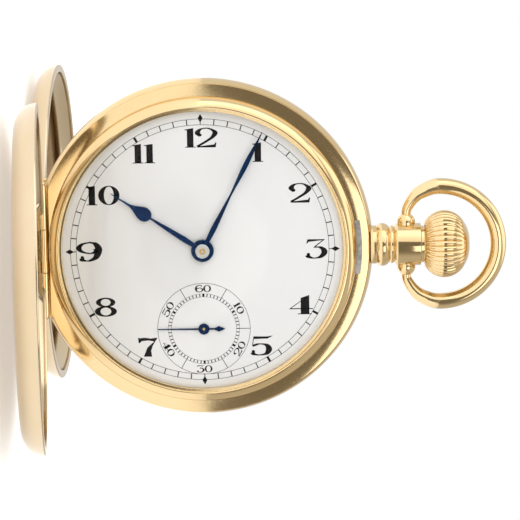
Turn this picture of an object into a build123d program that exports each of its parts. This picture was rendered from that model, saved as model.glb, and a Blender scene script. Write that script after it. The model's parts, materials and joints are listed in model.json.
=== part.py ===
from build123d import *
from math import asin, atan2, cos, degrees, hypot, pi, radians, sin, sqrt
import os

os.makedirs("parts", exist_ok=True)

# A crown-wound hunter pocket watch, stood on its two opened covers with the crown up.
# Millimetres. Z runs through three o'clock to the crown, the dial faces -Y and
# twelve o'clock is towards -X. In the notes below "height" is measured from the
# middle plane of the case towards the dial.

# ---- case -------------------------------------------------------------------------
CASE_R = 25.0
BAND_HALF = 2.0
SEAT_R = 24.4
COVER_R = 24.5
COVER_T = 0.6
CORNER = 3.35
FRONT_RISE = 4.0
BACK_RISE = 4.30
COVER_GAP = 0.03
HINGE_IN = 23.2
HINGE_R = 0.6
HINGE_HALF = 9.7
LEAF_HALF = 3.2
PIN_R = 0.25
BORE_R = 0.28
PLATE_HALF = 5.85
FRONT_OPEN = 86.0
BACK_OPEN = 88.9
# ---- inner cover ------------------------------------------------------------------
CUV_R = 22.4
CUV_RISE = 2.6
CUV_CORNER = 1.6
CUV_T = 0.4
CUV_HINGE_IN = 21.6
CUV_KNUCKLE = 0.45
# ---- dial side --------------------------------------------------------------------
DIAL_R = 21.3
DIAL_TOP = 3.07
SMALL_SECONDS = 11.72
BEZEL_R = 22.45
GLASS_R = 20.95
SIGHT_R = 20.55
HOUR_ANGLE = 303.0
MINUTE_ANGLE = 27.3
SECONDS_ANGLE = 270.0
# ---- movement ---------------------------------------------------------------------
PLATE_R = 20.7
BRIDGE_LOW = -3.3
BRIDGE_HIGH = -2.75
BARREL = (5.27, 9.14)
THIRD = (4.07, -6.59)
FOURTH = (0.0, -SMALL_SECONDS)
ESCAPE = (-5.07, -8.80)
PALLET = (-7.12, -4.35)
BALANCE = (-10.5, 3.0)
MOTION = (4.28, 1.56)
CROWN_WHEEL = (10.7, 0.0)
CLICK = (-1.7, 13.6)
LEVER = (17.4, 3.2)
BRIDGE_SCREWS = ((14.9, 12.5), (1.7, 19.4), (13.3, -13.3), (1.64, -18.7), (-16.0, -9.8))
# ---- pendant, crown and bow -------------------------------------------------------
STEM_R = 0.6
PENDANT_IN = 24.62
PENDANT_OUT = 32.05
BOW_AT = 29.9
BOW_BALL = 1.35
BOW_BALL_AT = 3.3
BOW_R = 8.58
BOW_WIRE = 1.17
CROWN_FLUTES = 36


def dome_radius(radius, corner, rise):
    """Radius of the shallow dome that runs on smoothly from the rounded corner."""
    inner = radius - corner
    return (inner ** 2 + rise ** 2 - corner ** 2) / (2 * (rise - corner))


def reach(swing, rise):
    """How far below the middle of the case an opened cover comes."""
    bowl = dome_radius(COVER_R, CORNER, rise)
    turn = radians(swing)
    return HINGE_IN - HINGE_IN * cos(turn) + bowl + (rise - bowl) * sin(turn)


def spread(swing):
    """How far an opened cover stands out from the middle plane."""
    return BAND_HALF + (HINGE_IN + COVER_R - CORNER) * sin(radians(swing)) + CORNER


LIFT = max(reach(FRONT_OPEN, FRONT_RISE), reach(BACK_OPEN, BACK_RISE))
SHIFT = (spread(FRONT_OPEN) - spread(BACK_OPEN)) / 2


def spot(u, v, height):
    """Point at u towards the crown, v towards twelve and a height over the middle."""
    return (-v, SHIFT - height, LIFT + u)


def level(height):
    """Plane parallel to the dial: x to the crown, y to twelve, normal to the viewer."""
    return Plane(spot(0, 0, height), x_dir=(0, 0, 1), z_dir=(0, -1, 0))


def across(u):
    """Plane square to the crown axis at distance u, x to twelve, normal outwards."""
    return Plane(spot(u, 0, 0), x_dir=(-1, 0, 0), z_dir=(0, 0, 1))


SECTION = Plane(spot(0, 0, 0), x_dir=(0, 0, 1), z_dir=(1, 0, 0))
DIAL_AXIS = Axis(spot(0, 0, 0), (0, -1, 0))
STEM_AXIS = Axis(spot(0, 0, 0), (0, 0, 1))


def chord(u, v, height):
    """Plane square to a hinge axis, x to the crown, y outwards from the back."""
    return Plane(spot(u, v, height), x_dir=(0, 0, 1), z_dir=(1, 0, 0))


def disc(at, radius, low, high, hole=0.0, mode=Mode.ADD):
    """Round disc or ring, parallel to the dial."""
    with BuildSketch(level(low)) as outline:
        with Locations(at):
            Circle(radius)
            if hole > 0:
                Circle(hole, mode=Mode.SUBTRACT)
    extrude(outline.sketch, amount=high - low, mode=mode)


def block(u0, u1, v0, v1, low, high, mode=Mode.ADD):
    """Square-edged block given by its two corners."""
    with BuildSketch(level(low)) as outline:
        with Locations(((u0 + u1) / 2, (v0 + v1) / 2)):
            Rectangle(u1 - u0, v1 - v0)
    extrude(outline.sketch, amount=high - low, mode=mode)


def tooth_points(tip, root, count, lean=0.0):
    """Outline of a toothed wheel; lean tilts the teeth forward."""
    points = []
    step = 2 * pi / count
    for i in range(count):
        for part, r in ((0.0, root), (0.24, root), (0.40 + lean, tip), (0.64 + lean, tip)):
            turn = (i + part) * step
            points.append((r * cos(turn), r * sin(turn)))
    return points


def toothed(at, tip, root, count, low, high, hole=0.0, lean=0.0):
    """Flat toothed wheel, parallel to the dial."""
    with BuildSketch(level(low)) as outline:
        with Locations(at):
            Polygon(*tooth_points(tip, root, count, lean), align=None)
            if hole > 0:
                Circle(hole, mode=Mode.SUBTRACT)
    extrude(outline.sketch, amount=high - low)


def cross_out(at, hub, rim, arms, width, low, high, turn=0.0):
    """Cut the windows between the arms of a wheel."""
    with BuildSketch(level(low - 0.1)) as outline:
        with Locations(at):
            Circle(rim)
            Circle(hub, mode=Mode.SUBTRACT)
            with PolarLocations(rim / 2 + hub / 2, arms, start_angle=turn):
                Rectangle(rim - hub + 1.0, width, mode=Mode.SUBTRACT)
    extrude(outline.sketch, amount=high - low + 0.2, mode=Mode.SUBTRACT)


def turned(points, axis=STEM_AXIS, mode=Mode.ADD):
    """Turned piece from a straight-edged half section."""
    with BuildSketch(SECTION) as outline:
        Polygon(*points, align=None)
    revolve(outline.sketch, axis=axis, mode=mode)


def rod(u, v, height, radius, half, mode=Mode.ADD, hole=0.0, shift=0.0):
    """Round rod along the hinge direction, centred on v = shift."""
    with BuildSketch(chord(u, shift + half, height)) as outline:
        Circle(radius)
        if hole > 0:
            Circle(hole, mode=Mode.SUBTRACT)
    extrude(outline.sketch, amount=2 * half, mode=mode)


def coil(at, inner, outer, turns, wire, low, high, start=0.0):
    """Flat spiral strip."""
    steps = int(turns * 28)
    near = []
    far = []
    for i in range(steps + 1):
        r = inner + (outer - inner) * i / steps
        turn = radians(start) + 2 * pi * turns * i / steps
        near.append(((r - wire / 2) * cos(turn), (r - wire / 2) * sin(turn)))
        far.append(((r + wire / 2) * cos(turn), (r + wire / 2) * sin(turn)))
    with BuildSketch(level(low)) as outline:
        with Locations(at):
            Polygon(*(near + far[::-1]), align=None)
    extrude(outline.sketch, amount=high - low)


def hand_plane(height, turn, at=(0, 0)):
    """Plane for a hand: y along the hand, turned clockwise from twelve o'clock."""
    a = radians(turn)
    return Plane(spot(at[0], at[1], height), x_dir=(sin(a), 0, cos(a)), z_dir=(0, -1, 0))


# ==== band of the case =============================================================
with BuildPart() as case_middle:
    with BuildSketch(SECTION):
        with BuildLine():
            Polyline((SEAT_R, -BAND_HALF), (22.5, -BAND_HALF), (22.5, -2.6), (21.0, -2.6),
                     (21.0, 1.4), (21.6, 1.4), (21.6, 2.9), (22.0, 2.9),
                     (22.0, BAND_HALF), (SEAT_R, BAND_HALF))
            ThreePointArc((SEAT_R, BAND_HALF), (CASE_R, 0), (SEAT_R, -BAND_HALF))
        make_face()
    revolve(axis=DIAL_AXIS)
    # the chord cut away for the two cover hinges, front and back
    for low, high in ((1.3, 2.6), (-2.6, -1.3)):
        block(-26, -(HINGE_IN - HINGE_R - 0.06), -12, 12, low, high, mode=Mode.SUBTRACT)
    # flat for the foot of the pendant and the hole for its spigot
    with BuildSketch(across(PENDANT_IN)):
        Circle(2.9)
    extrude(amount=2, mode=Mode.SUBTRACT)
    with BuildSketch(across(19)):
        Circle(1.5)
    extrude(amount=7, mode=Mode.SUBTRACT)
    # slot for the catch of the front cover
    with BuildSketch(level(1.55)):
        Circle(23.5)
        Circle(22.5, mode=Mode.SUBTRACT)
        with Locations((22.9, 0)):
            Rectangle(2.6, 8.3, mode=Mode.INTERSECT)
    extrude(amount=1, mode=Mode.SUBTRACT)
    # notch for the tip of the lift spring
    block(-22.65, -22.0, -0.6, 0.6, 0.9, 3.2, mode=Mode.SUBTRACT)


# ==== pendant ======================================================================
with BuildPart() as pendant:
    with BuildSketch(SECTION):
        with BuildLine():
            Polyline((25.5, 2.8), (PENDANT_IN, 2.8), (PENDANT_IN, 1.5), (21.7, 1.5),
                     (21.7, 0.9), (24.8, 0.9), (25.6, 1.5), (33.0, 1.5), (33.0, 2.7),
                     (PENDANT_OUT, 2.7), (PENDANT_OUT, 3.1), (28.6, 3.1))
            ThreePointArc((28.6, 3.1), (28.25, 2.95), (28.1, 2.6))
            ThreePointArc((28.1, 2.6), (27.75, 2.78), (27.4, 2.6))
            ThreePointArc((27.4, 2.6), (26.45, 3.15), (25.5, 2.8))
        make_face()
    revolve(axis=STEM_AXIS)
    # spherical seats for the ends of the bow
    for side in (1, -1):
        with Locations(spot(BOW_AT, side * BOW_BALL_AT, 0)):
            Sphere(BOW_BALL + 0.04, mode=Mode.SUBTRACT)


# ==== sleeve inside the pendant, guides the stem ===================================
with BuildPart() as pendant_sleeve:
    turned([(26.0, 0.64), (32.6, 0.64), (32.6, 1.5), (26.0, 1.5)])
    for side in (1, -1):
        with Locations(spot(BOW_AT, side * BOW_BALL_AT, 0)):
            Sphere(BOW_BALL + 0.5, mode=Mode.SUBTRACT)


# ==== bezel and crystal ============================================================
with BuildPart() as front_bezel:
    with BuildSketch(SECTION):
        with BuildLine():
            Polyline((BEZEL_R, 2.0), (22.0, 2.0), (22.0, 3.1), (SIGHT_R, 3.1),
                     (SIGHT_R, 4.05), (21.0, 4.05), (21.0, 4.42), (21.25, 4.45))
            ThreePointArc((21.25, 4.45), (22.25, 3.75), (BEZEL_R, 2.0))
        make_face()
    revolve(axis=DIAL_AXIS)
    block(-22.9, -22.05, -0.7, 0.7, 1.9, 3.0, mode=Mode.SUBTRACT)


def glass_point(top, drop):
    """Point part way out on one face of the domed glass."""
    bowl = (GLASS_R ** 2 + drop ** 2) / (2 * drop)
    return (14.0, top - bowl + sqrt(bowl ** 2 - 14.0 ** 2))


with BuildPart() as crystal:
    with BuildSketch(SECTION):
        with BuildLine():
            Line((0, 4.7), (0, 5.2))
            ThreePointArc((0, 5.2), glass_point(5.2, 0.75), (GLASS_R, 4.45))
            Line((GLASS_R, 4.45), (GLASS_R, 4.05))
            ThreePointArc((GLASS_R, 4.05), glass_point(4.7, 0.65), (0, 4.7))
        make_face()
    revolve(axis=DIAL_AXIS)


# ==== hinges of the two outer covers ===============================================
def case_knuckles(side):
    """The two outer hinge tubes, with the feet that stand on the band."""
    length = (HINGE_HALF - LEAF_HALF - 0.03) / 2
    for end in (1, -1):
        middle = end * (HINGE_HALF + LEAF_HALF + 0.03) / 2
        rod(-HINGE_IN, 0, side * BAND_HALF, HINGE_R, length, shift=middle)
        low = min(side * 1.3, side * (BAND_HALF - 0.2))
        high = max(side * 1.3, side * (BAND_HALF - 0.2))
        reach_v = min(middle + length, 8.4) if end > 0 else max(middle - length, -8.4)
        v0 = min(middle - end * length, reach_v)
        v1 = max(middle - end * length, reach_v)
        block(-HINGE_IN - 0.42, -HINGE_IN + 0.42, v0, v1, low, high)
    rod(-HINGE_IN, 0, side * BAND_HALF, PIN_R, HINGE_HALF + 1, mode=Mode.SUBTRACT)


def hinge_pin(side):
    """Hinge pin with its two rounded ends."""
    rod(-HINGE_IN, 0, side * BAND_HALF, PIN_R, HINGE_HALF)
    for end in (1, -1):
        with Locations(spot(-HINGE_IN, end * (HINGE_HALF + 0.14), side * BAND_HALF)):
            Sphere(0.42)
    inner = 2 * HINGE_HALF
    with BuildSketch(chord(-HINGE_IN, HINGE_HALF, side * BAND_HALF)) as outline:
        Circle(0.7)
        Circle(PIN_R, mode=Mode.SUBTRACT)
    extrude(outline.sketch, amount=inner, mode=Mode.SUBTRACT)


with BuildPart() as front_hinge_knuckles:
    case_knuckles(1)

with BuildPart() as back_hinge_knuckles:
    case_knuckles(-1)

with BuildPart() as front_hinge_pin:
    hinge_pin(1)

with BuildPart() as back_hinge_pin:
    hinge_pin(-1)


# ==== outer covers, standing open ==================================================
def cover_axes(side, swing):
    """Directions across and out of a cover, and the middle of its rim."""
    turn = radians(swing)
    run = Vector(0, -side * sin(turn), cos(turn))
    out = Vector(0, -side * cos(turn), -sin(turn))
    root = Vector(*spot(-HINGE_IN, 0, side * BAND_HALF))
    return run, out, root + run * HINGE_IN


def cover_section(side, swing):
    """Plane of a cover's half section: x across it, y out of it."""
    run, out, middle = cover_axes(side, swing)
    return Plane(middle, x_dir=run, z_dir=(side, 0, 0))


def cover_level(side, swing, height):
    """Plane parallel to a cover's rim: x away from the hinge, normal outwards."""
    run, out, middle = cover_axes(side, swing)
    return Plane(middle + out * height, x_dir=run, z_dir=out)


def dish(plane, radius, corner, rise, inset, foot, mode=Mode.ADD):
    """Shallow dish with a rounded corner, set in by the wall thickness."""
    bowl = dome_radius(radius, corner, rise)
    bend = corner - inset
    middle = radius - corner
    lean = atan2(middle, bowl - rise)
    meet = (middle + bend * sin(lean), bend * cos(lean))
    half = (pi / 2 - lean) / 2
    corner_mid = (middle + bend * cos(half), bend * sin(half))
    top = rise - inset
    centre = rise - bowl
    sweep_r = bowl - inset
    dome_mid = (sweep_r * sin(lean / 2), centre + sweep_r * cos(lean / 2))
    with BuildSketch(plane) as outline:
        with BuildLine() as edge:
            Line((0, foot), (0, top))
            ThreePointArc((0, top), dome_mid, meet)
            ThreePointArc(meet, corner_mid, (middle + bend, 0))
            Polyline((middle + bend, 0), (middle + bend, foot), (0, foot))
        make_face(edge.line)
    return outline.sketch


def cover_shell(side, swing, rise):
    """Pressed cover: dish, chord wall at the hinge and an inner rim."""
    run, out, middle = cover_axes(side, swing)
    axis = Axis(middle, out)
    plane = cover_section(side, swing)
    revolve(dish(plane, COVER_R, CORNER, rise, 0.0, -1.0), axis=axis)
    hollow = revolve(dish(plane, COVER_R, CORNER, rise, COVER_T, -1.5), axis=axis,
                     mode=Mode.PRIVATE)
    with BuildSketch(cover_level(side, swing, -2.0)) as keep:
        with Locations((-(HINGE_IN - 0.45) - 4, 0)):
            Rectangle(8, 60)
    wall = extrude(keep.sketch, amount=12, mode=Mode.PRIVATE)
    with BuildSketch(cover_level(side, swing, -2.0)) as rim:
        Circle(COVER_R + 2)
        Circle(COVER_R - 1.2, mode=Mode.SUBTRACT)
    lip = extrude(rim.sketch, amount=2.45, mode=Mode.PRIVATE)
    add(hollow - wall - lip, mode=Mode.SUBTRACT)
    # trim level with the rim and along the hinge chord
    with BuildSketch(cover_level(side, swing, COVER_GAP)) as below:
        Rectangle(80, 80)
    extrude(below.sketch, amount=-6, mode=Mode.SUBTRACT)
    with BuildSketch(cover_level(side, swing, -2.0)) as behind:
        with Locations((-(HINGE_IN + 0.05) - 5, 0)):
            Rectangle(10, 60)
    extrude(behind.sketch, amount=12, mode=Mode.SUBTRACT)
    root = Plane(middle - run * HINGE_IN + Vector(-14, 0, 0), x_dir=run, z_dir=(1, 0, 0))
    with BuildSketch(root) as clear:
        Circle(HINGE_R + 0.06)
    extrude(clear.sketch, amount=28, mode=Mode.SUBTRACT)


def leaf_pocket(side, swing, mode):
    """Space in the chord wall filled by the hinge leaf."""
    with BuildSketch(cover_level(side, swing, HINGE_R + 0.06)) as plate:
        with Locations((-HINGE_IN + 0.2, 0)):
            Rectangle(0.5, 2 * PLATE_HALF)
    extrude(plate.sketch, amount=1.3, mode=mode)
    if mode == Mode.SUBTRACT:
        with BuildSketch(cover_level(side, swing, -0.1)) as slot:
            with Locations((-HINGE_IN + 0.2, 0)):
                Rectangle(0.5, 2 * LEAF_HALF)
        extrude(slot.sketch, amount=HINGE_R + 0.2, mode=mode)


def cover_leaf(side, swing):
    """Hinge leaf of a cover: middle tube, web and plate."""
    run, out, middle = cover_axes(side, swing)
    leaf_pocket(side, swing, Mode.ADD)
    with BuildSketch(cover_level(side, swing, 0.0)) as web:
        with Locations((-HINGE_IN + 0.2, 0)):
            Rectangle(0.5, 2 * LEAF_HALF)
    extrude(web.sketch, amount=HINGE_R + 0.06)
    start = middle - run * HINGE_IN + Vector(-LEAF_HALF, 0, 0)
    with BuildSketch(Plane(start, x_dir=run, z_dir=(1, 0, 0))) as tube:
        Circle(HINGE_R)
    extrude(tube.sketch, amount=2 * LEAF_HALF)
    with BuildSketch(Plane(start, x_dir=run, z_dir=(1, 0, 0))) as bore:
        Circle(BORE_R)
    extrude(bore.sketch, amount=2 * LEAF_HALF, mode=Mode.SUBTRACT)


with BuildPart() as front_cover:
    cover_shell(1, FRONT_OPEN, FRONT_RISE)
    leaf_pocket(1, FRONT_OPEN, Mode.SUBTRACT)
    # notch in the inner rim where the catch snaps in
    with BuildSketch(cover_level(1, FRONT_OPEN, -0.5)):
        with Locations((23.15, 0)):
            Rectangle(1.4, 9.0)
    extrude(amount=1.2, mode=Mode.SUBTRACT)

with BuildPart() as front_cover_leaf:
    cover_leaf(1, FRONT_OPEN)

with BuildPart() as back_cover:
    cover_shell(-1, BACK_OPEN, BACK_RISE)
    leaf_pocket(-1, BACK_OPEN, Mode.SUBTRACT)

with BuildPart() as back_cover_leaf:
    cover_leaf(-1, BACK_OPEN)


# ==== inner cover over the movement ================================================
CUV_FOOT = -2.6
CUV_AXIS = CUV_FOOT - 0.5

with BuildPart() as inner_cover:
    cuv_plane = Plane(spot(0, 0, CUV_FOOT), x_dir=(0, 0, 1), z_dir=(-1, 0, 0))
    revolve(dish(cuv_plane, CUV_R, CUV_CORNER, CUV_RISE, 0.0, -0.4), axis=DIAL_AXIS)
    cuv_hollow = revolve(dish(cuv_plane, CUV_R, CUV_CORNER, CUV_RISE, CUV_T, -0.5),
                         axis=DIAL_AXIS, mode=Mode.PRIVATE)
    with BuildSketch(level(-8)) as cuv_keep:
        with Locations((-(CUV_HINGE_IN - 0.4) - 4, 0)):
            Rectangle(8, 50)
    cuv_wall = extrude(cuv_keep.sketch, amount=8, mode=Mode.PRIVATE)
    add(cuv_hollow - cuv_wall, mode=Mode.SUBTRACT)
    block(-30, 30, -30, 30, CUV_FOOT, -1, mode=Mode.SUBTRACT)
    block(-40, -(CUV_HINGE_IN + 0.05), -20, 20, -8, -1, mode=Mode.SUBTRACT)
    rod(-CUV_HINGE_IN, 0, CUV_AXIS, CUV_KNUCKLE + 0.06, 7.5, mode=Mode.SUBTRACT)
    block(-CUV_HINGE_IN - 1, -CUV_HINGE_IN + 0.36, -6.3, 6.3, CUV_AXIS, CUV_FOOT,
          mode=Mode.SUBTRACT)
    rod(-CUV_HINGE_IN, 0, CUV_AXIS, CUV_KNUCKLE, 1.75)
    block(-CUV_HINGE_IN - 0.05, -CUV_HINGE_IN + 0.4, -1.75, 1.75, CUV_AXIS - 0.7, CUV_AXIS)
    rod(-CUV_HINGE_IN, 0, CUV_AXIS, 0.23, 3.0, mode=Mode.SUBTRACT)
    # thumb lip opposite the hinge
    with BuildSketch(level(CUV_FOOT - 0.35)) as lip_shape:
        with Locations((CUV_R - 0.2, 0)):
            Rectangle(1.0, 3.0)
    extrude(lip_shape.sketch, amount=0.35)

with BuildPart() as inner_cover_knuckles:
    for end in (1, -1):
        rod(-CUV_HINGE_IN, 0, CUV_AXIS, CUV_KNUCKLE, 1.8, shift=end * 3.6)
        block(-CUV_HINGE_IN - 0.3, -CUV_HINGE_IN + 0.3, end * 3.6 - 1.8, end * 3.6 + 1.8,
              CUV_AXIS, CUV_FOOT)
    rod(-CUV_HINGE_IN, 0, CUV_AXIS, 0.2, 7.0, mode=Mode.SUBTRACT)

with BuildPart() as inner_cover_pin:
    rod(-CUV_HINGE_IN, 0, CUV_AXIS, 0.2, 5.4)


# ==== case springs =================================================================
with BuildPart() as catch_spring:
    with BuildSketch(level(1.58)) as bow_strip:
        Circle(23.38)
        Circle(22.62, mode=Mode.SUBTRACT)
        with Locations((22.9, 0)):
            Rectangle(2.4, 7.9, mode=Mode.INTERSECT)
    extrude(bow_strip.sketch, amount=0.8)

with BuildPart() as lift_spring:
    block(-22.58, -22.12, -0.5, 0.5, 0.92, 2.35)


# ==== dial =========================================================================
with BuildPart() as dial_base:
    disc((0, 0), DIAL_R, 2.42, 2.72, hole=1.35)
    disc(FOURTH, 0.6, 2.3, 2.9, mode=Mode.SUBTRACT)
    for angle in (45, 165, 285):
        disc((16.0 * cos(radians(angle)), 16.0 * sin(radians(angle))), 0.4, 1.5, 2.42)

with BuildPart() as dial:
    disc((0, 0), DIAL_R, 2.72, DIAL_TOP, hole=1.35)
    disc(FOURTH, 0.6, 2.6, 3.2, mode=Mode.SUBTRACT)
    # the faint step round the small seconds dial
    with BuildSketch(level(DIAL_TOP)):
        with Locations(FOURTH):
            Circle(6.86)
            Circle(6.76, mode=Mode.SUBTRACT)
    extrude(amount=-0.05, mode=Mode.SUBTRACT)


# ==== hands ========================================================================
with BuildPart() as hour_hand:
    with BuildSketch(hand_plane(3.40, HOUR_ANGLE)) as hour_shape:
        with BuildLine() as hour_edge:
            l1 = Polyline((-0.28, 1.2), (-0.42, 3.0), (-0.31, 5.8), (-0.13, 8.95))
            l2 = Spline(l1 @ 1, (-0.74, 9.28), (-1.03, 10.0), (-0.80, 10.95), (-0.40, 11.8),
                        (-0.16, 12.9))
            Polyline(l2 @ 1, (-0.04, 15.8), (0.04, 15.8), (0.16, 12.9))
            l3 = Spline((0.16, 12.9), (0.40, 11.8), (0.80, 10.95), (1.03, 10.0), (0.74, 9.28),
                        (0.13, 8.95))
            Polyline(l3 @ 1, (0.31, 5.8), (0.42, 3.0), (0.28, 1.2), (-0.28, 1.2))
        make_face(hour_edge.line)
        Circle(1.65)
        Circle(1.15, mode=Mode.SUBTRACT)
    extrude(hour_shape.sketch, amount=0.16)

with BuildPart() as minute_hand:
    with BuildSketch(hand_plane(3.86, MINUTE_ANGLE)) as minute_shape:
        with BuildLine() as minute_edge:
            m1 = Polyline((-0.24, 0.7), (-0.34, 2.2), (-0.40, 3.8), (-0.29, 6.2), (-0.15, 9.2))
            m2 = Spline(m1 @ 1, (-0.365, 14.0), (-0.05, 19.6), tangents=((-0.01, 1), (0.05, 1)))
            Line(m2 @ 1, (0.05, 19.6))
            m3 = Spline((0.05, 19.6), (0.365, 14.0), (0.15, 9.2), tangents=((0.05, -1), (-0.01, -1)))
            Polyline(m3 @ 1, (0.29, 6.2), (0.40, 3.8), (0.34, 2.2), (0.24, 0.7), (-0.24, 0.7))
        make_face(minute_edge.line)
        Circle(1.2)
        Circle(0.75, mode=Mode.SUBTRACT)
    extrude(minute_shape.sketch, amount=0.14)

with BuildPart() as seconds_hand:
    with BuildSketch(hand_plane(3.20, SECONDS_ANGLE, FOURTH)) as seconds_shape:
        with BuildLine() as seconds_edge:
            Polyline((-0.14, 0.3), (-0.06, 6.8), (0.06, 6.8), (0.14, 0.3), (0.12, -1.6),
                     (0.42, -2.2), (0.0, -3.15), (-0.42, -2.2), (-0.12, -1.6), (-0.14, 0.3))
        make_face(seconds_edge.line)
        Circle(0.82)
        Circle(0.2, mode=Mode.SUBTRACT)
    extrude(seconds_shape.sketch, amount=0.12)


# ==== main plate and bridges =======================================================
with BuildPart() as main_plate:
    disc((0, 0), PLATE_R, 0.9, 1.4)
    disc((0, 0), 21.5, 1.4, 2.4)
    # recess for the motion work under the dial
    disc((0, 0), 3.75, 1.6, 2.6, mode=Mode.SUBTRACT)
    disc(MOTION, 3.45, 1.6, 2.6, mode=Mode.SUBTRACT)
    disc(MOTION, 0.3, 1.6, 2.35)
    disc((0, 0), 0.68, 0.5, 2.0, mode=Mode.SUBTRACT)
    # recess for the keyless work, with the two stem blocks
    disc((13.0, 0), 3.6, 1.65, 2.6, mode=Mode.SUBTRACT)
    block(10.5, 16.4, -1.75, 1.75, 0.5, 2.6, mode=Mode.SUBTRACT)
    block(8.9, 10.3, -0.9, 0.9, -0.7, 0.9)
    block(16.5, 20.3, -1.6, 1.6, -0.9, 0.9)
    with BuildSketch(across(8)):
        Circle(0.38)
    extrude(amount=3, mode=Mode.SUBTRACT)
    with BuildSketch(across(16)):
        Circle(0.64)
    extrude(amount=6, mode=Mode.SUBTRACT)
    # recess for the setting lever and the slot for its pin
    disc(LEVER, 1.5, 1.25, 2.6, mode=Mode.SUBTRACT)
    disc(LEVER, 0.38, 0.5, 1.4, mode=Mode.SUBTRACT)
    block(16.1, 19.1, -0.9, 3.2, 1.25, 2.6, mode=Mode.SUBTRACT)
    block(16.5, 18.6, -0.45, 0.45, 0.1, 2.6, mode=Mode.SUBTRACT)
    # seats of the lower pivots
    for at in (THIRD, FOURTH, ESCAPE, BALANCE, PALLET):
        disc(at, 0.7, 0.5, 2.6, mode=Mode.SUBTRACT)
    disc(BARREL, 0.93, 0.5, 1.9, mode=Mode.SUBTRACT)
    for at in BRIDGE_SCREWS:
        disc(at, 0.45, 0.5, 1.6, mode=Mode.SUBTRACT)
    for angle in (45, 165, 285):
        disc((16.0 * cos(radians(angle)), 16.0 * sin(radians(angle))), 0.43, 1.45, 2.5,
             mode=Mode.SUBTRACT)


def bridge_outline(points, height):
    """Bridge shape: a polygon trimmed to the round of the movement."""
    with BuildSketch(level(height)) as outline:
        Polygon(*points, align=None)
        Circle(PLATE_R - 0.1, mode=Mode.INTERSECT)
    return outline.sketch


def foot_outline(height, inner, start, stop):
    """Curved foot of a bridge along the edge of the movement."""
    points = [(0, 0)]
    for i in range(9):
        turn = radians(start + (stop - start) * i / 8)
        points.append((30 * cos(turn), 30 * sin(turn)))
    with BuildSketch(level(height)) as outline:
        Polygon(*points, align=None)
        Circle(PLATE_R - 0.1, mode=Mode.INTERSECT)
        Circle(inner, mode=Mode.SUBTRACT)
    return outline.sketch


with BuildPart() as barrel_bridge:
    extrude(bridge_outline([(-3.5, 22), (-3.5, 6.2), (-2.6, 4.6), (2.2, 2.3), (6.2, -3.0),
                            (12.0, -4.9), (22, -5.6), (22, 22)], BRIDGE_LOW), amount=BRIDGE_HIGH - BRIDGE_LOW)
    extrude(foot_outline(BRIDGE_HIGH, 19.25, 16, 97), amount=0.9 - BRIDGE_HIGH)
    disc(BARREL, 1.03, BRIDGE_LOW - 0.1, BRIDGE_HIGH + 0.1, mode=Mode.SUBTRACT)
    disc(CROWN_WHEEL, 3.7, BRIDGE_LOW - 0.1, BRIDGE_HIGH + 0.1, mode=Mode.SUBTRACT)
    disc(CROWN_WHEEL, 0.9, -3.75, -1.6)
    with BuildSketch(level(-1.9)) as arm_below:
        Polygon((10.2, 0.7), (18.6, 7.6), (19.3, 6.2), (11.2, -0.7), align=None)
    extrude(arm_below.sketch, amount=0.3)
    for at in BRIDGE_SCREWS[:2]:
        disc(at, 0.45, -4, 1.2, mode=Mode.SUBTRACT)
    disc(CLICK, 0.45, -3.4, -2.6, mode=Mode.SUBTRACT)

with BuildPart() as train_bridge:
    extrude(bridge_outline([(-2.9, 4.3), (1.9, 2.0), (5.9, -3.3), (11.9, -5.3), (22, -6.0), (22, -22),
                            (-10.5, -22), (-9.2, -9.6), (-4.2, -5.4)], BRIDGE_LOW),
            amount=BRIDGE_HIGH - BRIDGE_LOW)
    extrude(foot_outline(BRIDGE_HIGH, 17.3, -104, -26), amount=0.9 - BRIDGE_HIGH)
    disc((0, 0), 0.63, -3.4, -2.6, mode=Mode.SUBTRACT)
    for at in (THIRD, FOURTH, ESCAPE):
        disc(at, 0.7, -3.4, -2.6, mode=Mode.SUBTRACT)
    for at in BRIDGE_SCREWS[2:4]:
        disc(at, 0.45, -4, 1.2, mode=Mode.SUBTRACT)

with BuildPart() as balance_cock:
    with BuildSketch(level(BRIDGE_LOW)) as cock:
        with BuildLine() as cock_edge:
            Polyline((-12.3, 3.0), (-13.4, -4.4), (-19.0, -7.6), (-13.2, -15.8),
                     (-11.4, -9.6), (-8.9, -3.2), (-8.7, 3.0), (-12.3, 3.0))
        make_face(cock_edge.line)
        with Locations(BALANCE):
            Circle(1.8)
    extrude(cock.sketch, amount=BRIDGE_HIGH - BRIDGE_LOW)
    with BuildSketch(level(BRIDGE_HIGH)) as cock_foot:
        Polygon((-17.2, -6.6), (-19.0, -7.6), (-13.2, -15.8), (-11.4, -9.6), align=None)
        with Locations(BALANCE):
            Circle(9.2, mode=Mode.SUBTRACT)
    extrude(cock_foot.sketch, amount=0.9 - BRIDGE_HIGH)
    disc(BALANCE, 0.7, -3.4, -2.6, mode=Mode.SUBTRACT)
    disc(BRIDGE_SCREWS[4], 0.45, -4, 1.2, mode=Mode.SUBTRACT)

with BuildPart() as regulator:
    with BuildSketch(level(-3.5)) as index:
        with Locations(BALANCE):
            Circle(1.35)
        Polygon((-10.9, 3.6), (-11.4, 7.2), (-11.0, 7.2), (-10.1, 3.6), align=None)
        with Locations(BALANCE):
            Circle(0.75, mode=Mode.SUBTRACT)
    extrude(index.sketch, amount=0.2)

with BuildPart() as plate_jewels:
    for at in (THIRD, FOURTH, ESCAPE, BALANCE):
        disc(at, 0.7, BRIDGE_LOW, BRIDGE_HIGH, hole=0.17)
    for at in (THIRD, ESCAPE, BALANCE, PALLET):
        disc(at, 0.7, 0.9, 1.4, hole=0.17)
    disc(FOURTH, 0.7, 0.9, 1.4, hole=0.23)

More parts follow.
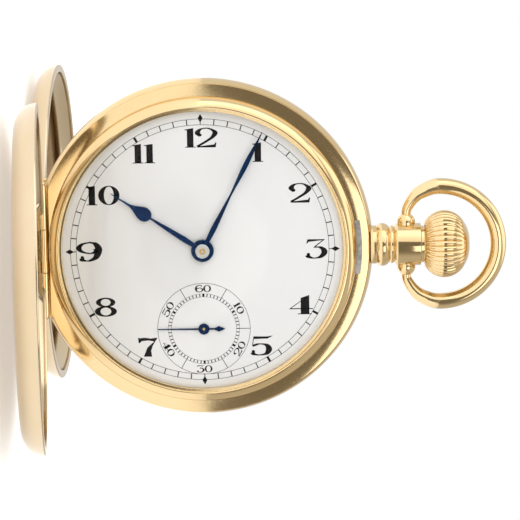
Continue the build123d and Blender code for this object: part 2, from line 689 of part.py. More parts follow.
with BuildPart() as bridge_screws:
    for at in BRIDGE_SCREWS:
        disc(at, 0.45, BRIDGE_LOW, 1.15)
        disc(at, 0.85, BRIDGE_LOW - 0.35, BRIDGE_LOW)
        block(at[0] - 0.9, at[0] + 0.9, at[1] - 0.1, at[1] + 0.1,
              BRIDGE_LOW - 0.4, BRIDGE_LOW - 0.2, mode=Mode.SUBTRACT)


# ==== barrel and winding work ======================================================
with BuildPart() as barrel:
    disc(BARREL, 7.9, -1.9, 0.5, hole=7.5)
    disc(BARREL, 7.9, 0.5, 0.8, hole=0.93)
    toothed(BARREL, 8.6, 8.1, 72, -0.3, 0.2, hole=7.5)

with BuildPart() as barrel_lid:
    disc(BARREL, 7.5, -1.9, -1.65, hole=0.93)

with BuildPart() as mainspring:
    coil(BARREL, 2.2, 7.3, 7.0, 0.3, -1.55, 0.45)

with BuildPart() as barrel_arbor:
    disc(BARREL, 0.9, -3.4, 1.4)
    disc(BARREL, 1.7, -1.5, 0.4)
    disc(BARREL, 0.55, -3.85, -3.4)

with BuildPart() as ratchet_wheel:
    toothed(BARREL, 6.95, 6.5, 58, -3.8, -3.4, hole=0.55)

with BuildPart() as ratchet_screw:
    disc(BARREL, 1.3, -4.1, -3.85)
    block(3.9, 6.6, 9.04, 9.24, -4.2, -4.0, mode=Mode.SUBTRACT)

with BuildPart() as crown_wheel:
    toothed(CROWN_WHEEL, 3.6, 3.2, 30, -3.75, -3.35, hole=0.93)
    disc(CROWN_WHEEL, 3.3, -3.35, -2.85, hole=2.6)
    for angle in range(0, 360, 15):
        turn = radians(angle)
        disc((CROWN_WHEEL[0] + 2.95 * cos(turn), CROWN_WHEEL[1] + 2.95 * sin(turn)), 0.25,
             -2.85, -1.95)

with BuildPart() as crown_wheel_cap:
    disc(CROWN_WHEEL, 1.5, -4.05, -3.8)
    block(9.1, 12.3, -0.1, 0.1, -4.1, -3.95, mode=Mode.SUBTRACT)

with BuildPart() as click:
    with BuildSketch(level(-3.75)) as pawl:
        with Locations(CLICK):
            Circle(0.7)
        Polygon((CLICK[0] - 0.6, CLICK[1] - 0.3), (CLICK[0] - 0.55, CLICK[1] - 2.6),
                (CLICK[0] + 0.1, CLICK[1] - 3.0), (CLICK[0] + 0.6, CLICK[1] - 0.3),
                align=None)
    extrude(pawl.sketch, amount=0.35)
    disc(CLICK, 0.42, -3.4, -2.8)

with BuildPart() as click_spring:
    with BuildSketch(level(-3.7)) as strip:
        Polygon((-2.5, 16.8), (-2.9, 16.8), (-3.3, 13.5), (-3.0, 11.0), (-2.85, 11.0),
                (-3.1, 13.5), align=None)
        with Locations((-2.3, 17.0)):
            Circle(0.7)
    extrude(strip.sketch, amount=0.4)

with BuildPart() as clutch_wheel:
    turned([(10.7, 0.45), (12.6, 0.45), (12.6, 1.3), (12.1, 1.3), (12.1, 1.0), (11.5, 1.0),
            (11.5, 1.3), (10.7, 1.3)])
    with BuildSketch(across(10)):
        Rectangle(0.96, 0.96)
    extrude(amount=4, mode=Mode.SUBTRACT)

with BuildPart() as winding_pinion:
    with BuildSketch(across(12.9)):
        Polygon(*tooth_points(1.5, 1.15, 14), align=None)
        Rectangle(0.96, 0.96, mode=Mode.SUBTRACT)
    extrude(amount=1.8)
    with BuildSketch(across(12.6)):
        Circle(1.0)
        Rectangle(0.96, 0.96, mode=Mode.SUBTRACT)
    extrude(amount=0.3)

with BuildPart() as winding_stem:
    turned([(9.0, 0), (9.0, 0.34), (10.9, 0.34), (10.9, 0.62), (15.6, 0.62), (15.6, STEM_R),
            (17.0, STEM_R), (17.0, 0.36), (17.8, 0.36), (17.8, STEM_R), (34.6, STEM_R),
            (34.6, 0)])
    # square length on which the clutch slides
    for side in (1, -1):
        block(10.9, 15.6, min(side * 0.45, side * 2), max(side * 0.45, side * 2), -2, 2,
              mode=Mode.SUBTRACT)
        block(10.9, 15.6, -2, 2, min(side * 0.45, side * 2), max(side * 0.45, side * 2),
              mode=Mode.SUBTRACT)

with BuildPart() as setting_lever:
    with BuildSketch(level(1.3)) as arm:
        with Locations(LEVER):
            Circle(1.0)
        Polygon((16.9, -0.45), (17.9, -0.45), (18.1, 3.2), (16.7, 3.2), align=None)
    extrude(arm.sketch, amount=0.35)
    disc((17.4, 0), 0.24, 0.42, 1.3)
    disc(LEVER, 0.35, 0.95, 1.3)


# ==== going train ==================================================================
with BuildPart() as centre_wheel:
    toothed((0, 0), 6.6, 6.25, 64, -2.45, -2.05)
    cross_out((0, 0), 1.4, 5.6, 5, 0.7, -2.45, -2.05)
    toothed((0, 0), 1.85, 1.45, 10, -1.9, 0.7)
    disc((0, 0), 1.2, -2.5, -1.9)
    disc((0, 0), 0.6, -3.3, 1.5)
    disc((0, 0), 0.4, 1.5, 4.1)

with BuildPart() as cannon_pinion:
    toothed((0, 0), 1.3, 1.0, 12, 1.68, 1.98, hole=0.4)
    disc((0, 0), 0.75, 1.98, 4.1, hole=0.4)

with BuildPart() as hand_cap:
    disc((0, 0), 1.05, 4.1, 4.28)
    disc((0, 0), 0.45, 4.28, 4.36)

with BuildPart() as third_wheel:
    toothed(THIRD, 5.6, 5.25, 60, -0.9, -0.5)
    cross_out(THIRD, 1.1, 4.7, 5, 0.6, -0.9, -0.5)
    toothed(THIRD, 1.1, 0.8, 8, -2.6, -1.9)
    disc(THIRD, 0.4, -2.65, 0.8)
    disc(THIRD, 0.14, -3.25, 1.35)

with BuildPart() as fourth_wheel:
    toothed(FOURTH, 5.0, 4.68, 60, -2.0, -1.6)
    cross_out(FOURTH, 1.0, 4.2, 5, 0.55, -2.0, -1.6)
    toothed(FOURTH, 0.9, 0.65, 8, -1.2, -0.2)
    disc(FOURTH, 0.35, -2.65, 0.8)
    disc(FOURTH, 0.14, -3.25, -2.65)
    disc(FOURTH, 0.2, 0.8, 3.32)

with BuildPart() as escape_wheel:
    toothed(ESCAPE, 3.6, 2.85, 15, -0.3, 0.1, lean=0.25)
    cross_out(ESCAPE, 0.8, 2.4, 4, 0.5, -0.3, 0.1)
    toothed(ESCAPE, 0.8, 0.55, 8, -2.1, -1.5)
    disc(ESCAPE, 0.3, -2.65, 0.8)
    disc(ESCAPE, 0.14, -3.25, 1.35)


def along(from_at, to_at, forward, sideways):
    """Point measured from one centre towards another."""
    run = (to_at[0] - from_at[0], to_at[1] - from_at[1])
    size = hypot(*run)
    ahead = (run[0] / size, run[1] / size)
    return (from_at[0] + ahead[0] * forward - ahead[1] * sideways,
            from_at[1] + ahead[1] * forward + ahead[0] * sideways)


with BuildPart() as pallet_fork:
    with BuildSketch(level(-0.4)) as fork:
        Polygon(along(PALLET, BALANCE, 0, -0.3), along(PALLET, BALANCE, 6.2, -0.25),
                along(PALLET, BALANCE, 6.9, -0.7), along(PALLET, BALANCE, 6.9, -0.35),
                along(PALLET, BALANCE, 6.4, 0.0), along(PALLET, BALANCE, 6.9, 0.35),
                along(PALLET, BALANCE, 6.9, 0.7), along(PALLET, BALANCE, 6.2, 0.25),
                along(PALLET, BALANCE, 0, 0.3), align=None)
        Polygon(along(PALLET, ESCAPE, 0.3, -2.6), along(PALLET, ESCAPE, -0.5, -2.4),
                along(PALLET, ESCAPE, -0.6, 0.0), along(PALLET, ESCAPE, -0.5, 2.4),
                along(PALLET, ESCAPE, 0.3, 2.6), along(PALLET, ESCAPE, 0.25, 0.0),
                align=None)
        with Locations(PALLET):
            Circle(0.55)
    extrude(fork.sketch, amount=0.4)
    disc(PALLET, 0.14, -1.3, 1.35)

with BuildPart() as pallet_stones:
    for side in (1, -1):
        with BuildSketch(level(-0.3)):
            Polygon(along(PALLET, ESCAPE, 0.25, side * 2.55),
                    along(PALLET, ESCAPE, 1.70, side * 2.40),
                    along(PALLET, ESCAPE, 1.55, side * 2.05),
                    along(PALLET, ESCAPE, 0.28, side * 2.1), align=None)
        extrude(amount=0.25)

with BuildPart() as pallet_cock:
    with BuildSketch(level(-1.25)) as small_cock:
        with Locations(PALLET):
            Circle(0.8)
            Circle(0.17, mode=Mode.SUBTRACT)
        Polygon((PALLET[0] - 0.5, PALLET[1] + 0.5), (PALLET[0] - 3.6, PALLET[1] - 1.6),
                (PALLET[0] - 3.2, PALLET[1] - 3.0), (PALLET[0] - 0.3, PALLET[1] - 0.6),
                align=None)
    extrude(small_cock.sketch, amount=0.4)
    disc((PALLET[0] - 3.4, PALLET[1] - 2.3), 0.85, -1.25, 0.9)

# ==== balance ======================================================================
with BuildPart() as balance_wheel:
    disc(BALANCE, 7.5, -1.9, -1.25, hole=6.7)
    with BuildSketch(level(-1.85)):
        with Locations(BALANCE):
            Rectangle(13.6, 0.9)
            Circle(0.95)
            Circle(0.4, mode=Mode.SUBTRACT)
    extrude(amount=0.35)
    for i in range(14):
        turn = 2 * pi * (i + 0.5) / 14
        spot_u = BALANCE[0] + 7.52 * cos(turn)
        spot_v = BALANCE[1] + 7.52 * sin(turn)
        disc((spot_u, spot_v), 0.28, -1.85, -1.3)

with BuildPart() as balance_staff:
    disc(BALANCE, 0.4, -2.3, 0.8)
    disc(BALANCE, 0.14, -3.25, 1.35)
    disc(BALANCE, 1.1, -1.05, -0.75)
    disc(along(BALANCE, PALLET, 0.8, 0.0), 0.14, -0.75, 0.0)

with BuildPart() as hairspring:
    disc(BALANCE, 0.65, -2.45, -2.15, hole=0.4)
    coil(BALANCE, 0.62, 3.4, 6.0, 0.09, -2.4, -2.2)

# ==== motion work ==================================================================
with BuildPart() as minute_wheel:
    toothed(MOTION, 3.2, 2.9, 36, 1.68, 1.95, hole=0.33)
    toothed(MOTION, 0.95, 0.72, 10, 1.95, 2.35, hole=0.33)

with BuildPart() as hour_wheel:
    toothed((0, 0), 3.55, 3.25, 40, 2.05, 2.32, hole=0.8)
    disc((0, 0), 1.15, 2.32, 3.7, hole=0.8)


# ==== crown ========================================================================
CROWN_SWELL = ((32.6, 3.30), (33.3, 4.13), (34.2, 4.69), (35.45, 4.93), (36.7, 4.70),
               (37.6, 4.17), (38.3, 3.40), (38.85, 2.30), (39.2, 0.90))

with BuildPart() as crown:
    rings = []
    for u, r in CROWN_SWELL:
        with BuildSketch(across(u)) as ring:
            Polygon(*tooth_points(r, r * 0.962, CROWN_FLUTES), align=None)
        rings.append(ring.sketch)
    for lower, upper in zip(rings, rings[1:]):
        loft([lower, upper], ruled=True)
    with BuildSketch(across(30)) as recess:
        Circle(2.8)
    extrude(recess.sketch, amount=4.4, mode=Mode.SUBTRACT)
    with BuildSketch(across(30)) as stem_hole:
        Circle(STEM_R)
    extrude(stem_hole.sketch, amount=4.6, mode=Mode.SUBTRACT)


# ==== bow ==========================================================================
def bow_ring(at, lead, radius):
    """Round section of the bow at a point, square to its run."""
    face = Plane(spot(BOW_AT + at[0], at[1], 0), x_dir=(0, 1, 0),
                 z_dir=(-lead[1], 0, lead[0]))
    with BuildSketch(face) as round_face:
        Circle(radius)
    return round_face.sketch


BOW_LEG = (((0.0, 4.1), (0.0, 1.0), 0.66), ((0.05, 5.0), (0.18, 1.0), 0.70),
           ((0.60, 6.15), (0.50, 0.87), 0.80), ((1.50, 7.25), (0.72, 0.69), 0.93),
           ((2.95, 8.10), (0.90, 0.43), 1.07), ((4.97, BOW_R), (1.0, 0.0), BOW_WIRE))

with BuildPart() as bow:
    for side in (1, -1):
        loft([bow_ring((p[0], side * p[1]), (d[0], side * d[1]), r) for p, d, r in BOW_LEG])
        with Locations(spot(BOW_AT, side * BOW_BALL_AT, 0)):
            Sphere(BOW_BALL)
    revolve(bow_ring((4.97, BOW_R), (1.0, 0.0), BOW_WIRE),
            axis=Axis(spot(BOW_AT + 4.97, 0, 0), (0, 1, 0)), revolution_arc=180)


EXPORTS = {
    "case_middle": case_middle, "pendant": pendant, "pendant_sleeve": pendant_sleeve,
    "front_bezel": front_bezel, "crystal": crystal,
    "front_hinge_knuckles": front_hinge_knuckles, "back_hinge_knuckles": back_hinge_knuckles,
    "front_hinge_pin": front_hinge_pin, "back_hinge_pin": back_hinge_pin,
    "front_cover": front_cover, "front_cover_leaf": front_cover_leaf,
    "back_cover": back_cover, "back_cover_leaf": back_cover_leaf,
    "inner_cover": inner_cover, "inner_cover_knuckles": inner_cover_knuckles,
    "inner_cover_pin": inner_cover_pin, "catch_spring": catch_spring,
    "lift_spring": lift_spring, "dial": dial, "dial_base": dial_base,
    "hour_hand": hour_hand, "minute_hand": minute_hand, "seconds_hand": seconds_hand,
    "main_plate": main_plate, "barrel_bridge": barrel_bridge, "train_bridge": train_bridge,
    "balance_cock": balance_cock, "regulator": regulator, "plate_jewels": plate_jewels,
    "bridge_screws": bridge_screws, "barrel": barrel, "barrel_lid": barrel_lid,
    "mainspring": mainspring, "barrel_arbor": barrel_arbor, "ratchet_wheel": ratchet_wheel,
    "ratchet_screw": ratchet_screw, "crown_wheel": crown_wheel,
    "crown_wheel_cap": crown_wheel_cap, "click": click, "click_spring": click_spring,
    "clutch_wheel": clutch_wheel, "winding_pinion": winding_pinion,
    "winding_stem": winding_stem, "setting_lever": setting_lever,
    "centre_wheel": centre_wheel,
    "cannon_pinion": cannon_pinion, "hand_cap": hand_cap, "third_wheel": third_wheel,
    "fourth_wheel": fourth_wheel, "escape_wheel": escape_wheel,
    "pallet_fork": pallet_fork, "pallet_stones": pallet_stones, "pallet_cock": pallet_cock,
    "balance_wheel": balance_wheel, "balance_staff": balance_staff, "hairspring": hairspring,
    "minute_wheel": minute_wheel, "hour_wheel": hour_wheel, "crown": crown, "bow": bow,
}

for name, piece in EXPORTS.items():
    piece.part.label = name
    export_step(piece.part, "parts/" + name + ".step")
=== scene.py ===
import json
from math import acos, atan2, cos, hypot, pi, radians, sin, sqrt

import bmesh
import bpy
from mathutils import Matrix, Vector


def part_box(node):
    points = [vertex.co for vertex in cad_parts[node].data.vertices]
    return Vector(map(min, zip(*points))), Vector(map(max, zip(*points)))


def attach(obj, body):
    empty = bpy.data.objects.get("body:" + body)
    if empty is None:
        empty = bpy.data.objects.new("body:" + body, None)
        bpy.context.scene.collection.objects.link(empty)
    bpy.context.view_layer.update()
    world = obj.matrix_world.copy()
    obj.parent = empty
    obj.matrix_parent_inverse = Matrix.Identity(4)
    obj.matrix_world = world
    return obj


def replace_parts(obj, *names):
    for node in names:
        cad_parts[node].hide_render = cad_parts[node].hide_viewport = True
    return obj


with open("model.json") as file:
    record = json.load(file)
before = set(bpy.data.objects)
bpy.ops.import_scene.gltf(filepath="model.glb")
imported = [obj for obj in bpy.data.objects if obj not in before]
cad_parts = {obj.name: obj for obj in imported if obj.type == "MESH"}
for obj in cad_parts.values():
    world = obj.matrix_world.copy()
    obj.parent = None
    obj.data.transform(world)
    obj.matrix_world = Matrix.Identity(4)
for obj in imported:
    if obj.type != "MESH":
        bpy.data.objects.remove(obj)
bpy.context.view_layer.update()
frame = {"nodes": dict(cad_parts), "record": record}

# A hunter pocket watch, crown up, with both covers open. Lengths in the helpers below
# are millimetres in the watch's own directions: u towards the crown, v towards twelve
# o'clock, h from the middle plane of the case towards the viewer.
MM = 0.001
DIAL_TOP = 3.07
dial_low, dial_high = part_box("dial")
LIFT = (dial_low.z + dial_high.z) / 2 / MM
SHIFT = dial_low.y / MM + DIAL_TOP
FOURTH = (0.0, -11.72)

CASE_R = 25.0
SEAT_R = 24.4
BAND_HALF = 2.0
NOTCH_U = 22.54
NOTCH_H = 1.3

COVER_R = 24.5
CORNER = 3.35
COVER_T = 0.6
FRONT_RISE = 4.0
BACK_RISE = 4.30
FRONT_OPEN = 86.0
BACK_OPEN = 88.9
LIP_WIDTH = 1.2
LIP_AT_CATCH = 0.66
CATCH_HALF = 4.5

HINGE_IN = 23.2
KNUCKLE_R = 0.6
PIN_R = 0.36
KNUCKLE_FROM = 3.23
KNUCKLE_TO = 9.7
LEAF_HALF = 3.2
LEAF_WIDE_HALF = 5.85
LEAF_OUT = 0.05
LEAF_IN = 0.45

INNER_R = 22.4
INNER_CORNER = 1.6
INNER_RISE = 2.6
INNER_T = 0.4
INNER_SEAT = 2.6

FLUTES = 36
FLUTE_DEPTH = 0.24
FLUTE_FADE_FROM = 37.4
FLUTE_FADE_OVER = 1.15

BOW_AT = 29.9
BOW_R = 8.58
BOW_MIDDLE = 4.97
BOW_WIRE_R = 1.17
BALL_R = 1.35
BALL_V = 3.3

ROUND = 384
WELD = 1e-7
NO_LENGTH = 1e-8


def place(u, v, h):
    return Vector((-v, SHIFT - h, LIFT + u)) * MM


# ---- geometry helpers ---------------------------------------------------------------
def link(name, verts, faces, body, material, sharp=35.0):
    """Puts a mesh in the scene as a smooth piece that rides on a body."""
    mesh = bpy.data.meshes.new(name)
    mesh.from_pydata([tuple(p) for p in verts], [], faces)
    mesh.validate()
    obj = bpy.data.objects.new(name, mesh)
    bpy.context.scene.collection.objects.link(obj)
    mesh.materials.append(material)
    bpy.context.view_layer.objects.active = obj
    mesh.shade_smooth()
    mesh.set_sharp_from_angle(angle=radians(sharp))
    fix_normals(mesh)
    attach(obj, body)
    return obj


def fix_normals(mesh):
    """Welds doubled points and turns the faces outwards."""
    bm = bmesh.new()
    bm.from_mesh(mesh)
    bmesh.ops.remove_doubles(bm, verts=bm.verts, dist=WELD)
    bmesh.ops.dissolve_degenerate(bm, edges=bm.edges, dist=NO_LENGTH)
    bmesh.ops.recalc_face_normals(bm, faces=bm.faces)
    bm.to_mesh(mesh)
    bm.free()


class Build:
    """Collects vertices and faces of one piece."""

    def __init__(self):
        self.verts = []
        self.faces = []

    def grid(self, rows, wrap_rows=False, wrap_cols=True):
        """Skin over rows of points, closed up on either way round if asked."""
        base = len(self.verts)
        count = len(rows[0])
        for row in rows:
            self.verts.extend(row)
        last = len(rows) if wrap_rows else len(rows) - 1
        width = count if wrap_cols else count - 1
        for i in range(last):
            a = base + i * count
            b = base + ((i + 1) % len(rows)) * count
            for j in range(width):
                k = (j + 1) % count
                self.faces.append((a + j, a + k, b + k, b + j))

    def cap(self, ring):
        """One face that closes a ring of points."""
        base = len(self.verts)
        self.verts.extend(ring)
        self.faces.append(tuple(range(base, base + len(ring))))

    def prism(self, outline, low, high, at=place):
        """Flat shape of straight edges between two heights."""
        base = len(self.verts)
        n = len(outline)
        for h in (low, high):
            self.verts.extend(at(p[0], p[1], h) for p in outline)
        self.faces.append(tuple(base + i for i in range(n)))
        self.faces.append(tuple(base + n + i for i in reversed(range(n))))
        for i in range(n):
            k = (i + 1) % n
            self.faces.append((base + i, base + k, base + n + k, base + n + i))

    def make(self, name, body, material, sharp=35.0):
        return link(name, self.verts, self.faces, body, material, sharp)


def circle(count):
    """Cosines and sines of equal steps once round a circle."""
    return [(cos(2 * pi * i / count), sin(2 * pi * i / count)) for i in range(count)]


def arc(p0, p1, p2, steps=12):
    """Points of the circle arc from p0 through p1 to p2."""
    ax, ay = p0
    bx, by = p1
    cx, cy = p2
    d = 2 * (ax * (by - cy) + bx * (cy - ay) + cx * (ay - by))
    ox = ((ax * ax + ay * ay) * (by - cy) + (bx * bx + by * by) * (cy - ay)
          + (cx * cx + cy * cy) * (ay - by)) / d
    oy = ((ax * ax + ay * ay) * (cx - bx) + (bx * bx + by * by) * (ax - cx)
          + (cx * cx + cy * cy) * (bx - ax)) / d
    r = hypot(ax - ox, ay - oy)
    t0 = atan2(ay - oy, ax - ox)
    t1 = atan2(by - oy, bx - ox)
    t2 = atan2(cy - oy, cx - ox)
    span = (t2 - t0) % (2 * pi)
    if (t1 - t0) % (2 * pi) > span:
        span -= 2 * pi
    return [(ox + r * cos(t0 + span * i / steps), oy + r * sin(t0 + span * i / steps))
            for i in range(steps + 1)]


CORNER_SHARE = 0.45
STRAIGHT_ON = -0.94
NO_RUN = 1e-6


def soften(points, radius=0.1, steps=3, closed=True):
    """Rounds the corners of a half section, except where it runs almost straight on."""
    out = []
    n = len(points)
    for i in range(n):
        p = points[i]
        if not closed and i in (0, n - 1):
            out.append(p)
            continue
        a = points[i - 1]
        b = points[(i + 1) % n]
        la = hypot(a[0] - p[0], a[1] - p[1])
        lb = hypot(b[0] - p[0], b[1] - p[1])
        if la < NO_RUN or lb < NO_RUN:
            continue
        turn = ((a[0] - p[0]) * (b[0] - p[0]) + (a[1] - p[1]) * (b[1] - p[1])) / la / lb
        if turn < STRAIGHT_ON:
            out.append(p)
            continue
        ra = min(radius, CORNER_SHARE * la)
        rb = min(radius, CORNER_SHARE * lb)
        s = (p[0] + (a[0] - p[0]) * ra / la, p[1] + (a[1] - p[1]) * ra / la)
        e = (p[0] + (b[0] - p[0]) * rb / lb, p[1] + (b[1] - p[1]) * rb / lb)
        for k in range(steps + 1):
            t = k / steps
            out.append((s[0] * (1 - t) ** 2 + 2 * p[0] * t * (1 - t) + e[0] * t * t,
                        s[1] * (1 - t) ** 2 + 2 * p[1] * t * (1 - t) + e[1] * t * t))
    return out


def dial_lathe(build, section, count=256, closed=True):
    """Turned piece about the middle of the dial; section is (radius, height)."""
    build.grid([[place(r * c, r * s, h) for c, s in circle(count)] for r, h in section],
               wrap_rows=closed)


def stem_lathe(build, section, count=96):
    """Turned piece about the crown axis; section is (u, radius)."""
    build.grid([[place(u, r * c, r * s) for c, s in circle(count)] for u, r in section])


def rod(build, u, h, v0, v1, radius, ball=False):
    """Round rod along a hinge, with eased or domed ends."""
    ease = 0.06
    steps = 8
    if ball:
        turns = [pi / 2 * k / steps for k in range(steps + 1)]
        dome = [(radius * sin(t), radius * cos(t)) for t in turns]
        side = [(v0 - run, r) for run, r in reversed(dome)]
        side += [(v1 + run, r) for run, r in dome]
    else:
        side = [(v0, 0.0), (v0, radius - ease), (v0 + ease, radius), (v1 - ease, radius),
                (v1, radius - ease), (v1, 0.0)]
    build.grid([[place(u + r * c, v, h + r * s) for c, s in circle(40)] for v, r in side])


def bar(build, u0, u1, v0, v1, h0, h1, at=place):
    """Straight-sided block between two corners."""
    build.prism([(u0, v0), (u1, v0), (u1, v1), (u0, v1)], h0, h1, at)


# ---- materials ----------------------------------------------------------------------
RELIEF_HEIGHT = 0.00005


def map_range(nodes, low, high, to_low, to_high):
    """Node that turns values from low to high into to_low to to_high."""
    node = nodes.new("ShaderNodeMapRange")
    node.inputs["From Min"].default_value = low
    node.inputs["From Max"].default_value = high
    node.inputs["To Min"].default_value = to_low
    node.inputs["To Max"].default_value = to_high
    return node


def noise(nodes, scale, detail):
    node = nodes.new("ShaderNodeTexNoise")
    node.inputs["Scale"].default_value = scale
    node.inputs["Detail"].default_value = detail
    return node


def shader(name, color, rough, metallic=0.0, second=None, blotch=70.0, spread=0.05,
           grain=2500.0, bump=0.02, coat=0.0, alpha=1.0, specular=0.5, stretch=None):
    """Material whose colour drifts in wide clouds and whose gloss varies in a fine grain."""
    mat = bpy.data.materials.new(name)
    mat.use_nodes = True
    nodes = mat.node_tree.nodes
    links = mat.node_tree.links
    principled = nodes["Principled BSDF"]
    principled.inputs["Metallic"].default_value = metallic
    principled.inputs["Coat Weight"].default_value = coat
    principled.inputs["Alpha"].default_value = alpha
    principled.inputs["Specular IOR Level"].default_value = specular
    where = nodes.new("ShaderNodeTexCoord")
    scale = nodes.new("ShaderNodeMapping")
    if stretch:
        scale.inputs["Scale"].default_value = stretch
    links.new(where.outputs["Object"], scale.inputs["Vector"])
    cloud = noise(nodes, blotch, 4.0)
    links.new(scale.outputs["Vector"], cloud.inputs["Vector"])
    tone = nodes.new("ShaderNodeMix")
    tone.data_type = "RGBA"
    other = second or tuple(c * 0.9 for c in color)
    tone.inputs["A"].default_value = (*color, 1)
    tone.inputs["B"].default_value = (*other, 1)
    ramp = map_range(nodes, 0.35, 0.65, 0.0, 1.0)
    links.new(cloud.outputs["Fac"], ramp.inputs["Value"])
    links.new(ramp.outputs["Result"], tone.inputs["Factor"])
    links.new(tone.outputs["Result"], principled.inputs["Base Color"])
    fine = noise(nodes, grain, 3.0)
    links.new(scale.outputs["Vector"], fine.inputs["Vector"])
    gloss = map_range(nodes, 0.0, 1.0, max(0.0, rough - spread), rough + spread)
    links.new(fine.outputs["Fac"], gloss.inputs["Value"])
    links.new(gloss.outputs["Result"], principled.inputs["Roughness"])
    relief = nodes.new("ShaderNodeBump")
    relief.inputs["Strength"].default_value = bump
    relief.inputs["Distance"].default_value = RELIEF_HEIGHT
    links.new(fine.outputs["Fac"], relief.inputs["Height"])
    links.new(relief.outputs["Normal"], principled.inputs["Normal"])
    return mat


GOLD = shader("yellow_gold_polished", (0.76, 0.585, 0.335), 0.10, 1.0, (0.73, 0.545, 0.285),
              spread=0.04, bump=0.02)
PALE = shader("pale_gold_polished", (0.68, 0.555, 0.39), 0.14, 1.0, (0.65, 0.525, 0.35),
              spread=0.05, bump=0.03)
ENAMEL = shader("white_enamel_glossy", (0.925, 0.945, 0.965), 0.10, 0.0, (0.92, 0.94, 0.96),
                coat=0.3, bump=0.01, spread=0.03)
INK = shader("black_dial_print", (0.006, 0.006, 0.007), 0.38, 0.0, (0.009, 0.009, 0.010),
             bump=0.05, specular=0.15)
BLUE = shader("blued_steel_polished", (0.010, 0.045, 0.13), 0.20, 1.0, (0.014, 0.030, 0.09),
              blotch=300.0, spread=0.05)
STEEL = shader("polished_steel", (0.56, 0.56, 0.57), 0.22, 1.0, (0.48, 0.48, 0.49),
               grain=4000.0, spread=0.08)
SATIN = shader("satin_steel_caps", (0.72, 0.72, 0.70), 0.45, 1.0, (0.64, 0.64, 0.62),
               spread=0.1)
GREY = shader("worn_catch_steel", (0.50, 0.49, 0.47), 0.42, 1.0, (0.30, 0.29, 0.28),
              blotch=1500.0, spread=0.15, bump=0.15)
GLASS = shader("watch_crystal_clear", (0.02, 0.02, 0.02), 0.02, 0.0, (0.03, 0.03, 0.03),
               spread=0.01, bump=0.0, alpha=0.035)
COPPER = shader("copper_dial_back", (0.60, 0.27, 0.15), 0.35, 1.0, (0.42, 0.20, 0.12))
NICKEL = shader("nickel_striped_plates", (0.62, 0.60, 0.56), 0.25, 1.0, (0.50, 0.48, 0.44),
                blotch=260.0, spread=0.08, stretch=(1.0, 1.0, 6.0))
GILT = shader("gilt_brass_wheels", (0.78, 0.56, 0.24), 0.22, 1.0, (0.70, 0.48, 0.18))
RUBY = shader("ruby_jewels", (0.42, 0.01, 0.06), 0.06, 0.0, (0.30, 0.0, 0.05), coat=0.6)

SLOT_LOOKS = {"yellow_gold": GOLD, "pale_gold": PALE, "hinge_steel": STEEL,
              "watch_glass": GLASS, "white_enamel": ENAMEL, "copper": COPPER,
              "blued_steel": BLUE, "polished_steel": STEEL, "nickel": NICKEL,
              "gilt_brass": GILT, "ruby": RUBY}
WORN_PARTS = ("catch_spring", "lift_spring")
PART_SHARP = 28


def dress_parts():
    """Gives every solid the look of its material slot."""
    for part in frame["record"]["subparts"]:
        node = frame["nodes"][part["node"]]
        look = GREY if part["node"] in WORN_PARTS else SLOT_LOOKS[part["material_slot"]]
        node.data.materials.clear()
        node.data.materials.append(look)
        node.data.shade_smooth()
        node.data.set_sharp_from_angle(angle=radians(PART_SHARP))


dress_parts()


# ---- band of the case ---------------------------------------------------------------
def band_radius(h):
    """The band is a little barrel-shaped: its radius at a height."""
    curve = (BAND_HALF ** 2 + (CASE_R - SEAT_R) ** 2) / (2 * (CASE_R - SEAT_R))
    return CASE_R - curve + sqrt(curve ** 2 - h * h)


def band_section(angle):
    """Half section of the band; the hinge chord is cut down front and back."""
    steps = 16
    cut = SEAT_R
    shelf = BAND_HALF
    if cos(angle) < 0 and NOTCH_U / -cos(angle) < band_radius(NOTCH_H):
        cut = min(SEAT_R, NOTCH_U / -cos(angle))
        shelf = NOTCH_H
    edge = band_radius(shelf)
    wall = BAND_HALF - 0.1
    foot = min(shelf, wall)
    run = [(22.0, 2.9), (22.0, BAND_HALF), (cut - 0.12, BAND_HALF),
           (cut - 0.03, BAND_HALF - 0.03), (cut, wall), (cut, foot), (edge - 0.03, foot)]
    for i in range(steps + 1):
        h = foot * cos(pi * i / steps)
        run.append((band_radius(h), h))
    run += [(edge - 0.03, -foot), (cut, -foot), (cut, -wall), (cut - 0.03, -BAND_HALF + 0.03),
            (cut - 0.12, -BAND_HALF), (22.5, -BAND_HALF), (22.5, -2.6), (21.0, -2.6),
            (21.0, 1.4), (21.6, 1.4), (21.6, 2.9)]
    return run


def make_band():
    build = Build()
    step_over = 1e-4
    turns = [2 * pi * i / ROUND for i in range(ROUND)]
    notch_end = acos(NOTCH_U / band_radius(NOTCH_H))
    for edge in (pi - notch_end, pi + notch_end):
        turns += [edge - step_over, edge + step_over]
    turns.sort()
    rows = []
    for a in turns:
        rows.append([place(r * cos(a), r * sin(a), h) for r, h in band_section(a)])
    build.grid(rows, wrap_rows=True)
    obj = build.make("case_band", "case", GOLD, sharp=40)
    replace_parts(obj, "case_middle")


make_band()


# ---- bezel and crystal --------------------------------------------------------------
def make_bezel():
    build = Build()
    section = [(22.05, 2.03), (22.05, 3.1), (20.55, 3.1), (20.55, 4.05), (21.0, 4.05),
               (21.0, 4.42)]
    section += arc((21.25, 4.45), (22.22, 3.75), (22.45, 2.03), 16)
    dial_lathe(build, soften(section, 0.09), ROUND)
    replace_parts(build.make("bezel_ring", "case", GOLD), "front_bezel")


def make_crystal():
    build = Build()
    top = arc((0.02, 5.2), (14.0, 4.865), (20.95, 4.45), 40)
    low = arc((20.95, 4.05), (14.0, 4.41), (0.02, 4.7), 40)
    dial_lathe(build, top + low, closed=False)
    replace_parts(build.make("crystal_glass", "case", GLASS), "crystal")


make_bezel()
make_crystal()


